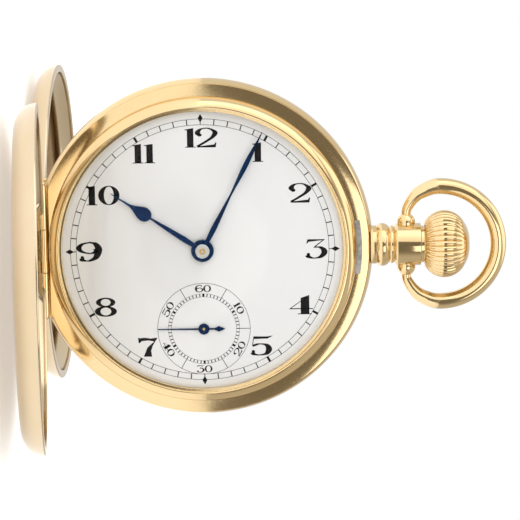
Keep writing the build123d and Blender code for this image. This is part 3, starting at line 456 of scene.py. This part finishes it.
# ---- covers -------------------------------------------------------------------------
def cover_place(side, swing):
    """Placing function of a cover, swung open about its hinge by an angle in degrees."""
    turn = radians(swing)
    run = (cos(turn), side * sin(turn))
    out = (-sin(turn), side * cos(turn))

    def at(x, y, z):
        return place(-HINGE_IN + (HINGE_IN + x) * run[0] + z * out[0], y,
                     side * BAND_HALF + (HINGE_IN + x) * run[1] + z * out[1])
    return at


def dish_line(radius, corner, rise, inset, steps):
    """Half section of a dish from the middle out to the foot of its corner."""
    flat = radius - corner
    bowl = (flat ** 2 + rise ** 2 - corner ** 2) / (2 * (rise - corner))
    lean = atan2(flat, bowl - rise)
    points = []
    for i in range(steps):
        t = lean * i / steps
        points.append((max((bowl - inset) * sin(t), 0.02), rise - bowl + (bowl - inset) * cos(t)))
    bend = corner - inset
    for i in range(steps + 1):
        t = lean + (pi / 2 - lean) * i / steps
        points.append((flat + bend * sin(t), bend * cos(t)))
    return points


def make_cover(name, node, body, side, swing, rise, notch):
    """Domed cover with a rolled lip, cut flat along the hinge."""
    at = cover_place(side, swing)
    steps = 22
    outer = [p for p in dish_line(COVER_R, CORNER, rise, 0.0, steps) if p[1] > 0.16]
    inner = [p for p in dish_line(COVER_R, CORNER, rise, COVER_T, steps) if p[1] > 0.52]
    outside = len(outer) + 3
    rows = []
    for i in range(ROUND):
        a = 2 * pi * i / ROUND
        lip = COVER_R - LIP_WIDTH
        if notch and cos(a) > 0 and abs(lip * sin(a)) < CATCH_HALF:
            lip = COVER_R - LIP_AT_CATCH
        rim = [(COVER_R - 0.02, 0.14), (COVER_R - 0.10, 0.05), (COVER_R - 0.2, 0.03),
               (lip + 0.10, 0.03), (lip + 0.03, 0.06), (lip, 0.13), (lip, 0.38),
               (lip + 0.04, 0.44), (lip + 0.10, 0.46), (COVER_R - 0.66, 0.47)]
        row = []
        for k, (r, h) in enumerate(outer + rim + inner[::-1]):
            flat = -HINGE_IN - LEAF_OUT if k < outside else -HINGE_IN + LEAF_IN
            row.append(at(max(r * cos(a), flat), r * sin(a), h))
        rows.append(row)
    build = Build()
    build.grid(rows, wrap_rows=True, wrap_cols=False)
    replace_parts(build.make(name, body, PALE, sharp=38), node)


make_cover("front_cover_dish", "front_cover", "front_lid", 1, FRONT_OPEN, FRONT_RISE, True)
make_cover("back_cover_dish", "back_cover", "back_lid", -1, BACK_OPEN, BACK_RISE, False)


def make_hinge(side, swing, word, body):
    """Tubes and pin ends on the case, and the leaf between them on the cover."""
    height = side * BAND_HALF
    build = Build()
    for end in (1, -1):
        v0, v1 = sorted((end * KNUCKLE_FROM, end * KNUCKLE_TO))
        rod(build, -HINGE_IN, height, v0, v1, KNUCKLE_R)
        v0, v1 = sorted((end * 3.3, end * 8.4))
        h0, h1 = sorted((side * NOTCH_H, side * 1.8))
        bar(build, -HINGE_IN - 0.42, -HINGE_IN + 0.42, v0, v1, h0, h1)
    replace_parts(build.make(word + "_hinge_tubes", "case", GOLD),
                word + "_hinge_knuckles")
    build = Build()
    for end in (1, -1):
        v0, v1 = sorted((end * 9.72, end * 9.9))
        rod(build, -HINGE_IN, height, v0, v1, PIN_R, ball=True)
    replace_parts(build.make(word + "_hinge_pin_ends", "case", GOLD),
                word + "_hinge_pin")
    at = cover_place(side, swing)
    low, step, high = 0.0, 0.66, 1.96
    build = Build()
    rod(build, -HINGE_IN, height, -LEAF_HALF, LEAF_HALF, KNUCKLE_R)
    for half, h0, h1 in ((LEAF_WIDE_HALF, step, high), (LEAF_HALF, low, step)):
        bar(build, -HINGE_IN - LEAF_OUT, -HINGE_IN + LEAF_IN, -half, half, h0, h1, at)
    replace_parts(build.make(word + "_hinge_leaf", body, GOLD),
                word + "_cover_leaf")


make_hinge(1, FRONT_OPEN, "front", "front_lid")
make_hinge(-1, BACK_OPEN, "back", "back_lid")


def make_inner_cover():
    """Thin dish under the back cover, with its knuckle and a lifting nib."""
    steps = 20
    outer = dish_line(INNER_R, INNER_CORNER, INNER_RISE, 0.0, steps)
    inner = dish_line(INNER_R, INNER_CORNER, INNER_RISE, INNER_T, steps)
    rim = [(INNER_R - 0.05, 0.0), (INNER_R - 0.35, 0.0)]
    rows = []
    for c, s in circle(320):
        row = []
        for k, (r, h) in enumerate(outer + rim + inner[::-1]):
            flat = -21.65 if k <= len(outer) else -21.2
            row.append(place(max(r * c, flat), r * s, -INNER_SEAT - max(h, 0.0)))
        rows.append(row)
    build = Build()
    build.grid(rows, wrap_rows=True, wrap_cols=False)
    rod(build, -21.6, -3.1, -1.75, 1.75, 0.45)
    bar(build, 22.0, 22.7, -1.5, 1.5, -2.95, -2.62)
    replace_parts(build.make("inner_cover_dish", "inner_lid", PALE), "inner_cover")


make_inner_cover()


# ---- pendant, crown, bow ------------------------------------------------------------
def make_pendant():
    build = Build()
    section = [(33.0, 1.5), (33.0, 2.7), (32.05, 2.7), (32.05, 3.1), (28.6, 3.1)]
    section += arc((28.55, 3.08), (28.25, 2.9), (28.12, 2.6), 6)
    section += arc((28.1, 2.6), (27.75, 2.78), (27.4, 2.6), 8)
    section += arc((27.38, 2.62), (26.45, 3.15), (25.52, 2.8), 14)
    section += [(25.48, 2.8), (24.62, 2.8), (24.62, 1.4), (21.7, 1.4), (21.7, 0.9)]
    stem_lathe(build, soften(section, 0.10, closed=False), 128)
    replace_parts(build.make("pendant_neck", "case", GOLD), "pendant")


def make_crown():
    """Onion crown: a recess below, rounded flutes that fade out near the top."""
    build = Build()
    count = FLUTES * 14
    recess = [(34.4, 0.62), (34.4, 2.8), (32.66, 2.8)]
    section = arc((32.62, 3.30), (35.475, 4.93), (38.36, 3.30), 40)
    section += arc((38.4, 3.22), (38.95, 2.15), (39.19, 0.5), 14)
    rows = [[place(u, r * c, r * s) for c, s in circle(count)] for u, r in recess]
    for u, r in section:
        fade = 1.0
        if u > FLUTE_FADE_FROM:
            fade = max(0.0, 1.0 - (u - FLUTE_FADE_FROM) / FLUTE_FADE_OVER)
        row = []
        for i in range(count):
            a = 2 * pi * i / count
            wave = abs(cos(a * FLUTES / 2))
            dip = FLUTE_DEPTH * (1 - wave) ** 1.4 * fade * min(1.0, r / 4.0)
            row.append(place(u, (r - dip) * cos(a), (r - dip) * sin(a)))
        rows.append(row)
    build.grid(rows)
    build.cap(rows[-1])
    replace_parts(build.make("fluted_crown", "crown_and_stem", GOLD, sharp=60),
                "crown")


def bow_line():
    """Middle line of the bow and its half thickness, from one ball to the other."""
    steps = 10
    turns = 64
    # each stop of a leg has its place, its direction and its half thickness
    leg = [((0.0, 4.1), (0.0, 1.0), 0.66), ((0.05, 5.0), (0.18, 1.0), 0.70),
           ((0.60, 6.15), (0.50, 0.87), 0.80), ((1.50, 7.25), (0.72, 0.69), 0.93),
           ((2.95, 8.10), (0.90, 0.43), 1.07), ((BOW_MIDDLE, BOW_R), (1.0, 0.0), BOW_WIRE_R)]
    half = []
    for (p, d, r), (q, e, s) in zip(leg, leg[1:]):
        size = hypot(q[0] - p[0], q[1] - p[1])
        dl, el = hypot(*d), hypot(*e)
        for k in range(steps):
            t = k / steps
            a = 2 * t ** 3 - 3 * t ** 2 + 1
            b = t ** 3 - 2 * t ** 2 + t
            c = -2 * t ** 3 + 3 * t ** 2
            g = t ** 3 - t ** 2
            x = a * p[0] + b * size * d[0] / dl + c * q[0] + g * size * e[0] / el
            y = a * p[1] + b * size * d[1] / dl + c * q[1] + g * size * e[1] / el
            half.append((x, y, r + (s - r) * t))
    loop = [(BOW_MIDDLE + BOW_R * sin(pi * k / turns), BOW_R * cos(pi * k / turns), BOW_WIRE_R)
            for k in range(turns + 1)]
    return half + loop + [(x, -y, r) for x, y, r in reversed(half)]


def make_bow():
    build = Build()
    line = bow_line()
    rows = []
    for i, (x, y, r) in enumerate(line):
        a = line[max(i - 1, 0)]
        b = line[min(i + 1, len(line) - 1)]
        dx, dy = b[0] - a[0], b[1] - a[1]
        size = hypot(dx, dy)
        nx, ny = -dy / size, dx / size
        rows.append([place(BOW_AT + x + nx * r * c, y + ny * r * c, r * s)
                     for c, s in circle(40)])
    build.grid(rows)
    rings = 24
    for end in (1, -1):
        ball = []
        for k in range(1, rings):
            t = pi * k / rings
            ball.append([place(BOW_AT + BALL_R * sin(t) * c, end * BALL_V - end * BALL_R * cos(t),
                               BALL_R * sin(t) * s) for c, s in circle(48)])
        build.grid(ball)
    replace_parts(build.make("bow_ring_wire", "bow_ring", GOLD, sharp=60), "bow")


make_pendant()
make_crown()
make_bow()


# ---- dial ---------------------------------------------------------------------------
def make_dial():
    build = Build()
    dial_lathe(build, soften([(1.35, 2.74), (1.35, DIAL_TOP), (21.3, DIAL_TOP), (21.3, 2.74)],
                             0.06))
    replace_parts(build.make("enamel_dial", "case", ENAMEL), "dial")


make_dial()

INK_H = DIAL_TOP + 0.012
MINUTE_IN = 18.5
MINUTE_OUT = 19.35
RAIL_WIDTH = 0.065
HOUR_R = 16.6
SECONDS_IN = 4.78
SECONDS_MID = 5.25
SECONDS_OUT = 6.8
SECONDS_TEXT_R = 6.02
FINE_RAIL = 0.035

# widths of the numerals: how far each is stretched sideways, and the room it takes
WIDE = {"0": 1.0, "1": 1.0, "2": 1.34, "3": 1.70, "4": 1.34, "5": 1.75, "6": 1.7, "7": 1.58,
        "8": 1.75, "9": 1.78}
ROOM = {"0": 1.15, "1": 0.60, "2": 1.05}


class Print:
    """Black dial printing: flat shapes just proud of the enamel."""

    def __init__(self):
        self.verts = []
        self.faces = []
        self.at = (0.0, 0.0)
        self.size = 1.0
        self.lean = 0.0

    def spot(self, p):
        x, y = p[0] * self.size, p[1] * self.size
        c, s = cos(self.lean), sin(self.lean)
        x, y = x * c - y * s, x * s + y * c
        return place(self.at[0] + x, self.at[1] + y, INK_H)

    def poly(self, points):
        base = len(self.verts)
        self.verts.extend(self.spot(p) for p in points)
        self.faces.append(tuple(range(base, base + len(points))))

    def strip(self, left, right):
        base = len(self.verts)
        for a, b in zip(left, right):
            self.verts.append(self.spot(a))
            self.verts.append(self.spot(b))
        for i in range(len(left) - 1):
            k = base + 2 * i
            self.faces.append((k, k + 1, k + 3, k + 2))

    def ring(self, centre, radius, width, count=240):
        self.at, self.size, self.lean = centre, 1.0, 0.0
        left = [((radius - width / 2) * cos(2 * pi * i / count),
                 (radius - width / 2) * sin(2 * pi * i / count)) for i in range(count + 1)]
        right = [((radius + width / 2) * cos(2 * pi * i / count),
                  (radius + width / 2) * sin(2 * pi * i / count)) for i in range(count + 1)]
        self.strip(left, right)

    def tick(self, centre, clock, inner, outer, width):
        """Radial line at a clockwise angle from twelve o'clock."""
        a = radians(clock)
        self.at, self.size, self.lean = centre, 1.0, 0.0
        d = (sin(a), cos(a))
        n = (cos(a), -sin(a))
        self.poly([(d[0] * inner - n[0] * width / 2, d[1] * inner - n[1] * width / 2),
                   (d[0] * outer - n[0] * width / 2, d[1] * outer - n[1] * width / 2),
                   (d[0] * outer + n[0] * width / 2, d[1] * outer + n[1] * width / 2),
                   (d[0] * inner + n[0] * width / 2, d[1] * inner + n[1] * width / 2)])

    def disc(self, centre, radius, count=28):
        self.poly([(centre[0] + radius * c, centre[1] + radius * s) for c, s in circle(count)])

    def stroke(self, points, thick, thin, steps=12, power=1.4):
        """Curved stroke, thick where it runs up and down and thin across."""
        path = []
        n = len(points)
        for i in range(n - 1):
            p0 = points[max(i - 1, 0)]
            p1, p2 = points[i], points[i + 1]
            p3 = points[min(i + 2, n - 1)]
            for k in range(steps):
                t = k / steps
                path.append(tuple(0.5 * (2 * p1[j] + (p2[j] - p0[j]) * t
                                         + (2 * p0[j] - 5 * p1[j] + 4 * p2[j] - p3[j]) * t * t
                                         + (3 * p1[j] - p0[j] - 3 * p2[j] + p3[j]) * t ** 3)
                                  for j in (0, 1)))
        path.append(points[-1])
        left, right = [], []
        for i, p in enumerate(path):
            a, b = path[max(i - 1, 0)], path[min(i + 1, len(path) - 1)]
            dx, dy = b[0] - a[0], b[1] - a[1]
            size = hypot(dx, dy) or 1.0
            w = (thin + (thick - thin) * (abs(dy) / size) ** power) / 2
            left.append((p[0] - dy / size * w, p[1] + dx / size * w))
            right.append((p[0] + dy / size * w, p[1] - dx / size * w))
        self.strip(left, right)

    def digit(self, char, x, fat, hair):
        """One old-style bold numeral, a unit high, centred on x."""
        k = WIDE[char]

        def sh(points):
            return [(px * k + x, py) for px, py in points]
        if char == "0":
            self.crescent(x, 0.0, 0.525, 0.5, 0.5, fat, hair)
        elif char == "1":
            self.poly(sh([(-fat / 2, 0), (fat / 2, 0), (fat / 2, 1.0), (-fat / 2, 0.95)]))
            self.poly(sh([(-fat / 2, 0.95), (-fat / 2 - 0.12, 0.93), (-fat / 2 - 0.12, 0.90),
                          (-fat / 2, 0.88)]))
            self.poly(sh([(-0.27, 0), (0.27, 0), (0.27, hair * 0.8), (-0.27, hair * 0.8)]))
        elif char == "2":
            self.stroke(sh([(-0.24, 0.60), (-0.33, 0.76), (-0.20, 0.94), (0.04, 0.985),
                            (0.24, 0.88), (0.32, 0.72), (0.20, 0.50), (-0.06, 0.27),
                            (-0.36, 0.05)]), fat * 0.92, hair, power=2.2)
            self.disc((x - 0.23 * k, 0.64), 0.07)
            self.poly(sh([(-0.38, 0.0), (0.35, 0.0), (0.38, 0.25), (0.34, 0.25), (0.30, 0.15),
                          (-0.10, 0.09), (-0.34, 0.06)]))
        elif char == "3":
            self.poly(sh([(-0.26, 1.0), (0.26, 1.0), (0.26, 0.96), (-0.22, 0.87), (-0.26, 0.78),
                          (-0.29, 0.78)]))
            self.poly(sh([(0.26, 0.98), (0.21, 0.97), (-0.08, 0.585), (-0.03, 0.585)]))
            self.stroke(sh([(-0.07, 0.585), (0.10, 0.585), (0.22, 0.46), (0.24, 0.28), (0.12, 0.08),
                            (-0.06, 0.02), (-0.20, 0.08), (-0.27, 0.20)]), fat, hair)
            self.disc((x - 0.23 * k, 0.21), 0.085)
        elif char == "4":
            self.poly(sh([(-0.03, 0.0), (-0.03 + fat, 0.0), (-0.03 + fat, 1.0), (-0.03, 0.86)]))
            self.poly(sh([(-0.03 + fat, 1.0), (-0.06 + fat, 1.0), (-0.46, 0.30), (-0.41, 0.30)]))
            self.poly(sh([(-0.46, 0.27), (0.44, 0.27), (0.44, 0.27 + hair * 0.9),
                          (-0.46, 0.27 + hair * 0.9)]))
            self.poly(sh([(-0.15, 0), (0.39, 0), (0.39, hair * 0.8), (-0.15, hair * 0.8)]))
        elif char == "5":
            self.poly(sh([(-0.22, 1.0), (-0.20, 0.86), (0.20, 0.88), (0.36, 1.02), (0.33, 1.03),
                          (0.20, 0.99)]))
            self.poly(sh([(-0.215, 0.95), (-0.19, 0.95), (-0.235, 0.50), (-0.255, 0.50)]))
            self.stroke(sh([(-0.24, 0.50), (-0.04, 0.60), (0.16, 0.54), (0.24, 0.32), (0.16, 0.10),
                            (-0.02, 0.02), (-0.18, 0.06), (-0.26, 0.18)]), fat, hair)
            self.disc((x - 0.22 * k, 0.20), 0.085)
        elif char == "6":
            self.stroke(sh([(0.20, 0.86), (0.04, 0.98), (-0.18, 0.82), (-0.27, 0.5), (-0.20, 0.14),
                            (0.0, 0.015)]), fat, hair, power=2.0)
            self.stroke(sh([(-0.20, 0.46), (0.04, 0.60), (0.25, 0.46), (0.27, 0.26), (0.14, 0.06),
                            (0.0, 0.015)]), fat * 0.8, hair, power=2.0)
            self.disc((x + 0.19 * k, 0.84), 0.07)
        elif char == "7":
            self.poly(sh([(-0.32, 1.0), (-0.30, 0.72), (-0.26, 0.72), (-0.20, 0.82), (0.02, 0.85),
                          (0.22, 0.79), (0.30, 0.92), (0.30, 1.0), (0.10, 0.95), (-0.12, 1.0),
                          (-0.24, 0.97)]))
            self.poly(sh([(0.30, 0.96), (0.24, 0.84), (-0.02, 0.48), (-0.14, 0.0), (0.13, 0.0),
                          (0.10, 0.30), (0.15, 0.55)]))
        elif char == "8":
            self.crescent(x, 0.0, 0.55, 0.275, 0.275, fat, hair * 1.6)
            self.crescent(x, 0.50, 0.48, 0.25, 0.25, fat * 0.85, hair * 1.6)
        elif char == "9":
            self.stroke(sh([(0.05, 0.985), (-0.18, 0.90), (-0.29, 0.70), (-0.20, 0.50),
                            (0.02, 0.41), (0.16, 0.48), (0.20, 0.60)]), fat * 0.85, hair)
            self.stroke(sh([(0.0, 0.985), (0.17, 0.90), (0.27, 0.62), (0.19, 0.22), (0.0, 0.03),
                            (-0.16, 0.05), (-0.24, 0.18)]), fat * 1.15, hair)
            self.disc((x - 0.21 * k, 0.20), 0.075)

    def crescent(self, x, low, half, mid, tall, fat, hair):
        """Upright oval whose sides are thick and whose top and bottom are hairlines."""
        steps = 48
        left, right = [], []
        for i in range(steps + 1):
            a = 2 * pi * i / steps
            left.append((x + (half + 0.02) * cos(a), low + mid + tall * sin(a)))
            right.append((x + (half + 0.02 - fat * 0.88) * cos(a),
                          low + mid + (tall - hair * 0.8) * sin(a)))
        self.strip(left, right)

    def number(self, text, centre, height, fat=0.33, hair=0.055, lean=0.0, gap=1.08, shift=0.5):
        self.at, self.size, self.lean = centre, height, lean
        widths = [ROOM.get(c, gap) for c in text]
        x = -sum(widths) / 2
        base = len(self.verts)
        for c, w in zip(text, widths):
            self.digit(c, x + w / 2, fat, hair)
            x += w
        # numerals are centred on their own height
        drop = self.spot((0, shift)) - self.spot((0, 0))
        for i in range(base, len(self.verts)):
            self.verts[i] = self.verts[i] - drop

    def diamond(self, clock, radius, long_half, wide_half):
        a = radians(clock)
        c = (sin(a) * radius, cos(a) * radius)
        d = (sin(a), cos(a))
        n = (cos(a), -sin(a))
        self.at, self.size, self.lean = c, 1.0, 0.0
        self.poly([(d[0] * long_half, d[1] * long_half), (n[0] * wide_half, n[1] * wide_half),
                   (-d[0] * long_half, -d[1] * long_half), (-n[0] * wide_half, -n[1] * wide_half)])


def print_minutes(ink):
    for radius in (MINUTE_IN, MINUTE_OUT):
        ink.ring((0, 0), radius, RAIL_WIDTH)
    for minute in range(60):
        if minute % 15 == 0:
            ink.tick((0, 0), 6 * minute, MINUTE_IN, 18.95, 0.12)
            ink.diamond(6 * minute, 19.45, 0.64, 0.36)
        elif minute % 5 == 0:
            ink.tick((0, 0), 6 * minute, MINUTE_IN, MINUTE_OUT, 0.34)
        else:
            ink.tick((0, 0), 6 * minute, MINUTE_IN, MINUTE_OUT, 0.15)


def print_hours(ink):
    """Every hour but six, where the seconds dial is."""
    for hour in (1, 2, 3, 4, 5, 7, 8, 9, 10, 11, 12):
        a = radians(30 * hour)
        ink.number(str(hour), (HOUR_R * sin(a), HOUR_R * cos(a)), 2.85)


def print_seconds(ink):
    ink.ring(FOURTH, SECONDS_OUT, 0.06)
    for radius in (SECONDS_MID, SECONDS_IN):
        ink.ring(FOURTH, radius, FINE_RAIL)
    for second in range(60):
        width = 0.30 if second % 10 == 0 else 0.13
        ink.tick(FOURTH, 6 * second, SECONDS_IN, SECONDS_MID, width)
        if second % 10 == 5:
            ink.tick(FOURTH, 6 * second, SECONDS_IN, SECONDS_OUT, 0.09)
    for k in range(6):
        clock = 60 * k
        a = radians(clock)
        text = "60" if k == 0 else str(10 * k)
        flip = pi if 90 < clock < 270 else 0.0
        centre = (FOURTH[0] + SECONDS_TEXT_R * sin(a), FOURTH[1] + SECONDS_TEXT_R * cos(a))
        ink.number(text, centre, 1.05, fat=0.28, hair=0.09, lean=-a + flip)


def make_print():
    ink = Print()
    print_minutes(ink)
    print_hours(ink)
    print_seconds(ink)
    obj = link("dial_printing", ink.verts, ink.faces, "case", INK)
    for poly in obj.data.polygons:
        if poly.normal.y > 0:
            poly.flip()


make_print()


# ---- hub of the hands ---------------------------------------------------------------
def make_caps():
    """Cap over the hands with a gilt ring and a steel dot in its middle."""
    build = Build()
    dial_lathe(build, soften([(0.02, 4.28), (0.9, 4.28), (1.05, 4.20), (1.05, 4.02), (0.02, 4.02)],
                             0.05, closed=False), 64, closed=False)
    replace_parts(build.make("hand_hub_cap", "centre", SATIN), "hand_cap")
    build = Build()
    dial_lathe(build, [(0.20, 4.27), (0.20, 4.34), (0.46, 4.34), (0.46, 4.27)], 48)
    build.make("hand_hub_ring", "centre", GILT)
    build = Build()
    dial_lathe(build, [(0.01, 4.35), (0.12, 4.34), (0.19, 4.30), (0.19, 4.27), (0.01, 4.27)], 32,
               closed=False)
    build.make("hand_hub_dot", "centre", SATIN)


make_caps()



# ---- floor, light, camera -----------------------------------------------------------
FLOOR_HALF = 0.9
FLOOR_GLOW = 0.36


def make_stage():
    floor = bpy.data.meshes.new("floor")
    corners = [(x * FLOOR_HALF, y * FLOOR_HALF, 0)
               for x, y in ((-1, -1), (1, -1), (1, 1), (-1, 1))]
    floor.from_pydata(corners, [], [(0, 1, 2, 3)])
    obj = bpy.data.objects.new("floor", floor)
    bpy.context.scene.collection.objects.link(obj)
    look = shader("pale_floor", (0.93, 0.93, 0.93), 0.6, 0.0, (0.92, 0.92, 0.92), bump=0.0,
                  blotch=3.0, specular=0.1)
    bright = look.node_tree.nodes["Principled BSDF"]
    bright.inputs["Emission Color"].default_value = (1, 1, 1, 1)
    bright.inputs["Emission Strength"].default_value = FLOOR_GLOW
    floor.materials.append(look)


make_stage()


def soft_light(name, at, size, power):
    """Square softbox, places and sizes in metres, aimed at the middle of the watch."""
    data = bpy.data.lights.new(name, "AREA")
    data.shape = "RECTANGLE"
    data.size = size
    data.size_y = size
    data.energy = power
    obj = bpy.data.objects.new(name, data)
    bpy.context.scene.collection.objects.link(obj)
    obj.location = Vector(at)
    aim = place(0, 0, 0) - Vector(at)
    obj.rotation_euler = aim.to_track_quat("-Z", "Y").to_euler()


soft_light("overhead_softbox", (-0.1, 0.05, 0.9), 0.9, 2.2)
soft_light("left_softbox", (-0.60, -0.40, 0.25), 1.0, 3.2)
soft_light("front_softbox", (0.25, -0.80, 0.45), 0.5, 1.5)


def make_world():
    """Studio seen in reflections: warmer and darker towards the viewer and one side.

    The camera itself sees plain white."""
    world = bpy.data.worlds.new("studio")
    bpy.context.scene.world = world
    world.use_nodes = True
    nodes = world.node_tree.nodes
    links = world.node_tree.links
    nodes.clear()
    around = nodes.new("ShaderNodeTexCoord")
    split = nodes.new("ShaderNodeSeparateXYZ")
    links.new(around.outputs["Generated"], split.inputs["Vector"])
    front = map_range(nodes, -1.0, -0.35, 0.26, 0.92)
    front.interpolation_type = "SMOOTHSTEP"
    links.new(split.outputs["Y"], front.inputs["Value"])
    sideways = map_range(nodes, -1.0, 1.0, 1.05, 0.68)
    links.new(split.outputs["X"], sideways.inputs["Value"])
    level = nodes.new("ShaderNodeMath")
    level.operation = "MULTIPLY"
    links.new(front.outputs["Result"], level.inputs[0])
    links.new(sideways.outputs["Result"], level.inputs[1])
    tint = nodes.new("ShaderNodeMix")
    tint.data_type = "RGBA"
    tint.inputs["A"].default_value = (1.0, 0.88, 0.70, 1)
    tint.inputs["B"].default_value = (1.0, 1.0, 1.0, 1)
    links.new(level.outputs["Value"], tint.inputs["Factor"])
    glow = nodes.new("ShaderNodeBackground")
    links.new(tint.outputs["Result"], glow.inputs["Color"])
    links.new(level.outputs["Value"], glow.inputs["Strength"])
    plain = nodes.new("ShaderNodeBackground")
    plain.inputs["Color"].default_value = (1, 1, 1, 1)
    plain.inputs["Strength"].default_value = 1.0
    ray = nodes.new("ShaderNodeLightPath")
    mix = nodes.new("ShaderNodeMixShader")
    links.new(ray.outputs["Is Camera Ray"], mix.inputs["Fac"])
    links.new(glow.outputs["Background"], mix.inputs[1])
    links.new(plain.outputs["Background"], mix.inputs[2])
    surface = nodes.new("ShaderNodeOutputWorld")
    links.new(mix.outputs["Shader"], surface.inputs["Surface"])
    bpy.context.scene.view_settings.view_transform = "Standard"


make_world()

LENS = 194.5
SENSOR = 36.0
CAMERA_ROLL = 0.0151
CAMERA_TILT = 0.1752
CAMERA_PAN = -0.0129
CAMERA_OFFSET = (-8.407, 1.427, -411.13)
CLIP_NEAR = 0.01
CLIP_FAR = 20.0


def make_camera():
    """Seen square on, a little from the twelve o'clock side, with twelve at the top."""
    turn = (Matrix.Rotation(CAMERA_ROLL, 3, "Z") @ Matrix.Rotation(CAMERA_TILT, 3, "X")
            @ Matrix.Rotation(CAMERA_PAN, 3, "Y"))
    at = -(turn.transposed() @ Vector(CAMERA_OFFSET))
    data = bpy.data.cameras.new("camera")
    data.sensor_width = SENSOR
    data.lens = LENS
    data.clip_start = CLIP_NEAR
    data.clip_end = CLIP_FAR
    obj = bpy.data.objects.new("camera", data)
    bpy.context.scene.collection.objects.link(obj)
    pose = Matrix.Identity(4)
    for i, row in enumerate(turn):
        # from the watch's own directions to the scene's
        axis = (-row[1], -row[2], row[0])
        for k in range(3):
            pose[k][i] = axis[k]
    pose.translation = place(at[0], at[1], at[2] + DIAL_TOP)
    obj.matrix_world = pose
    bpy.context.scene.camera = obj


make_camera()
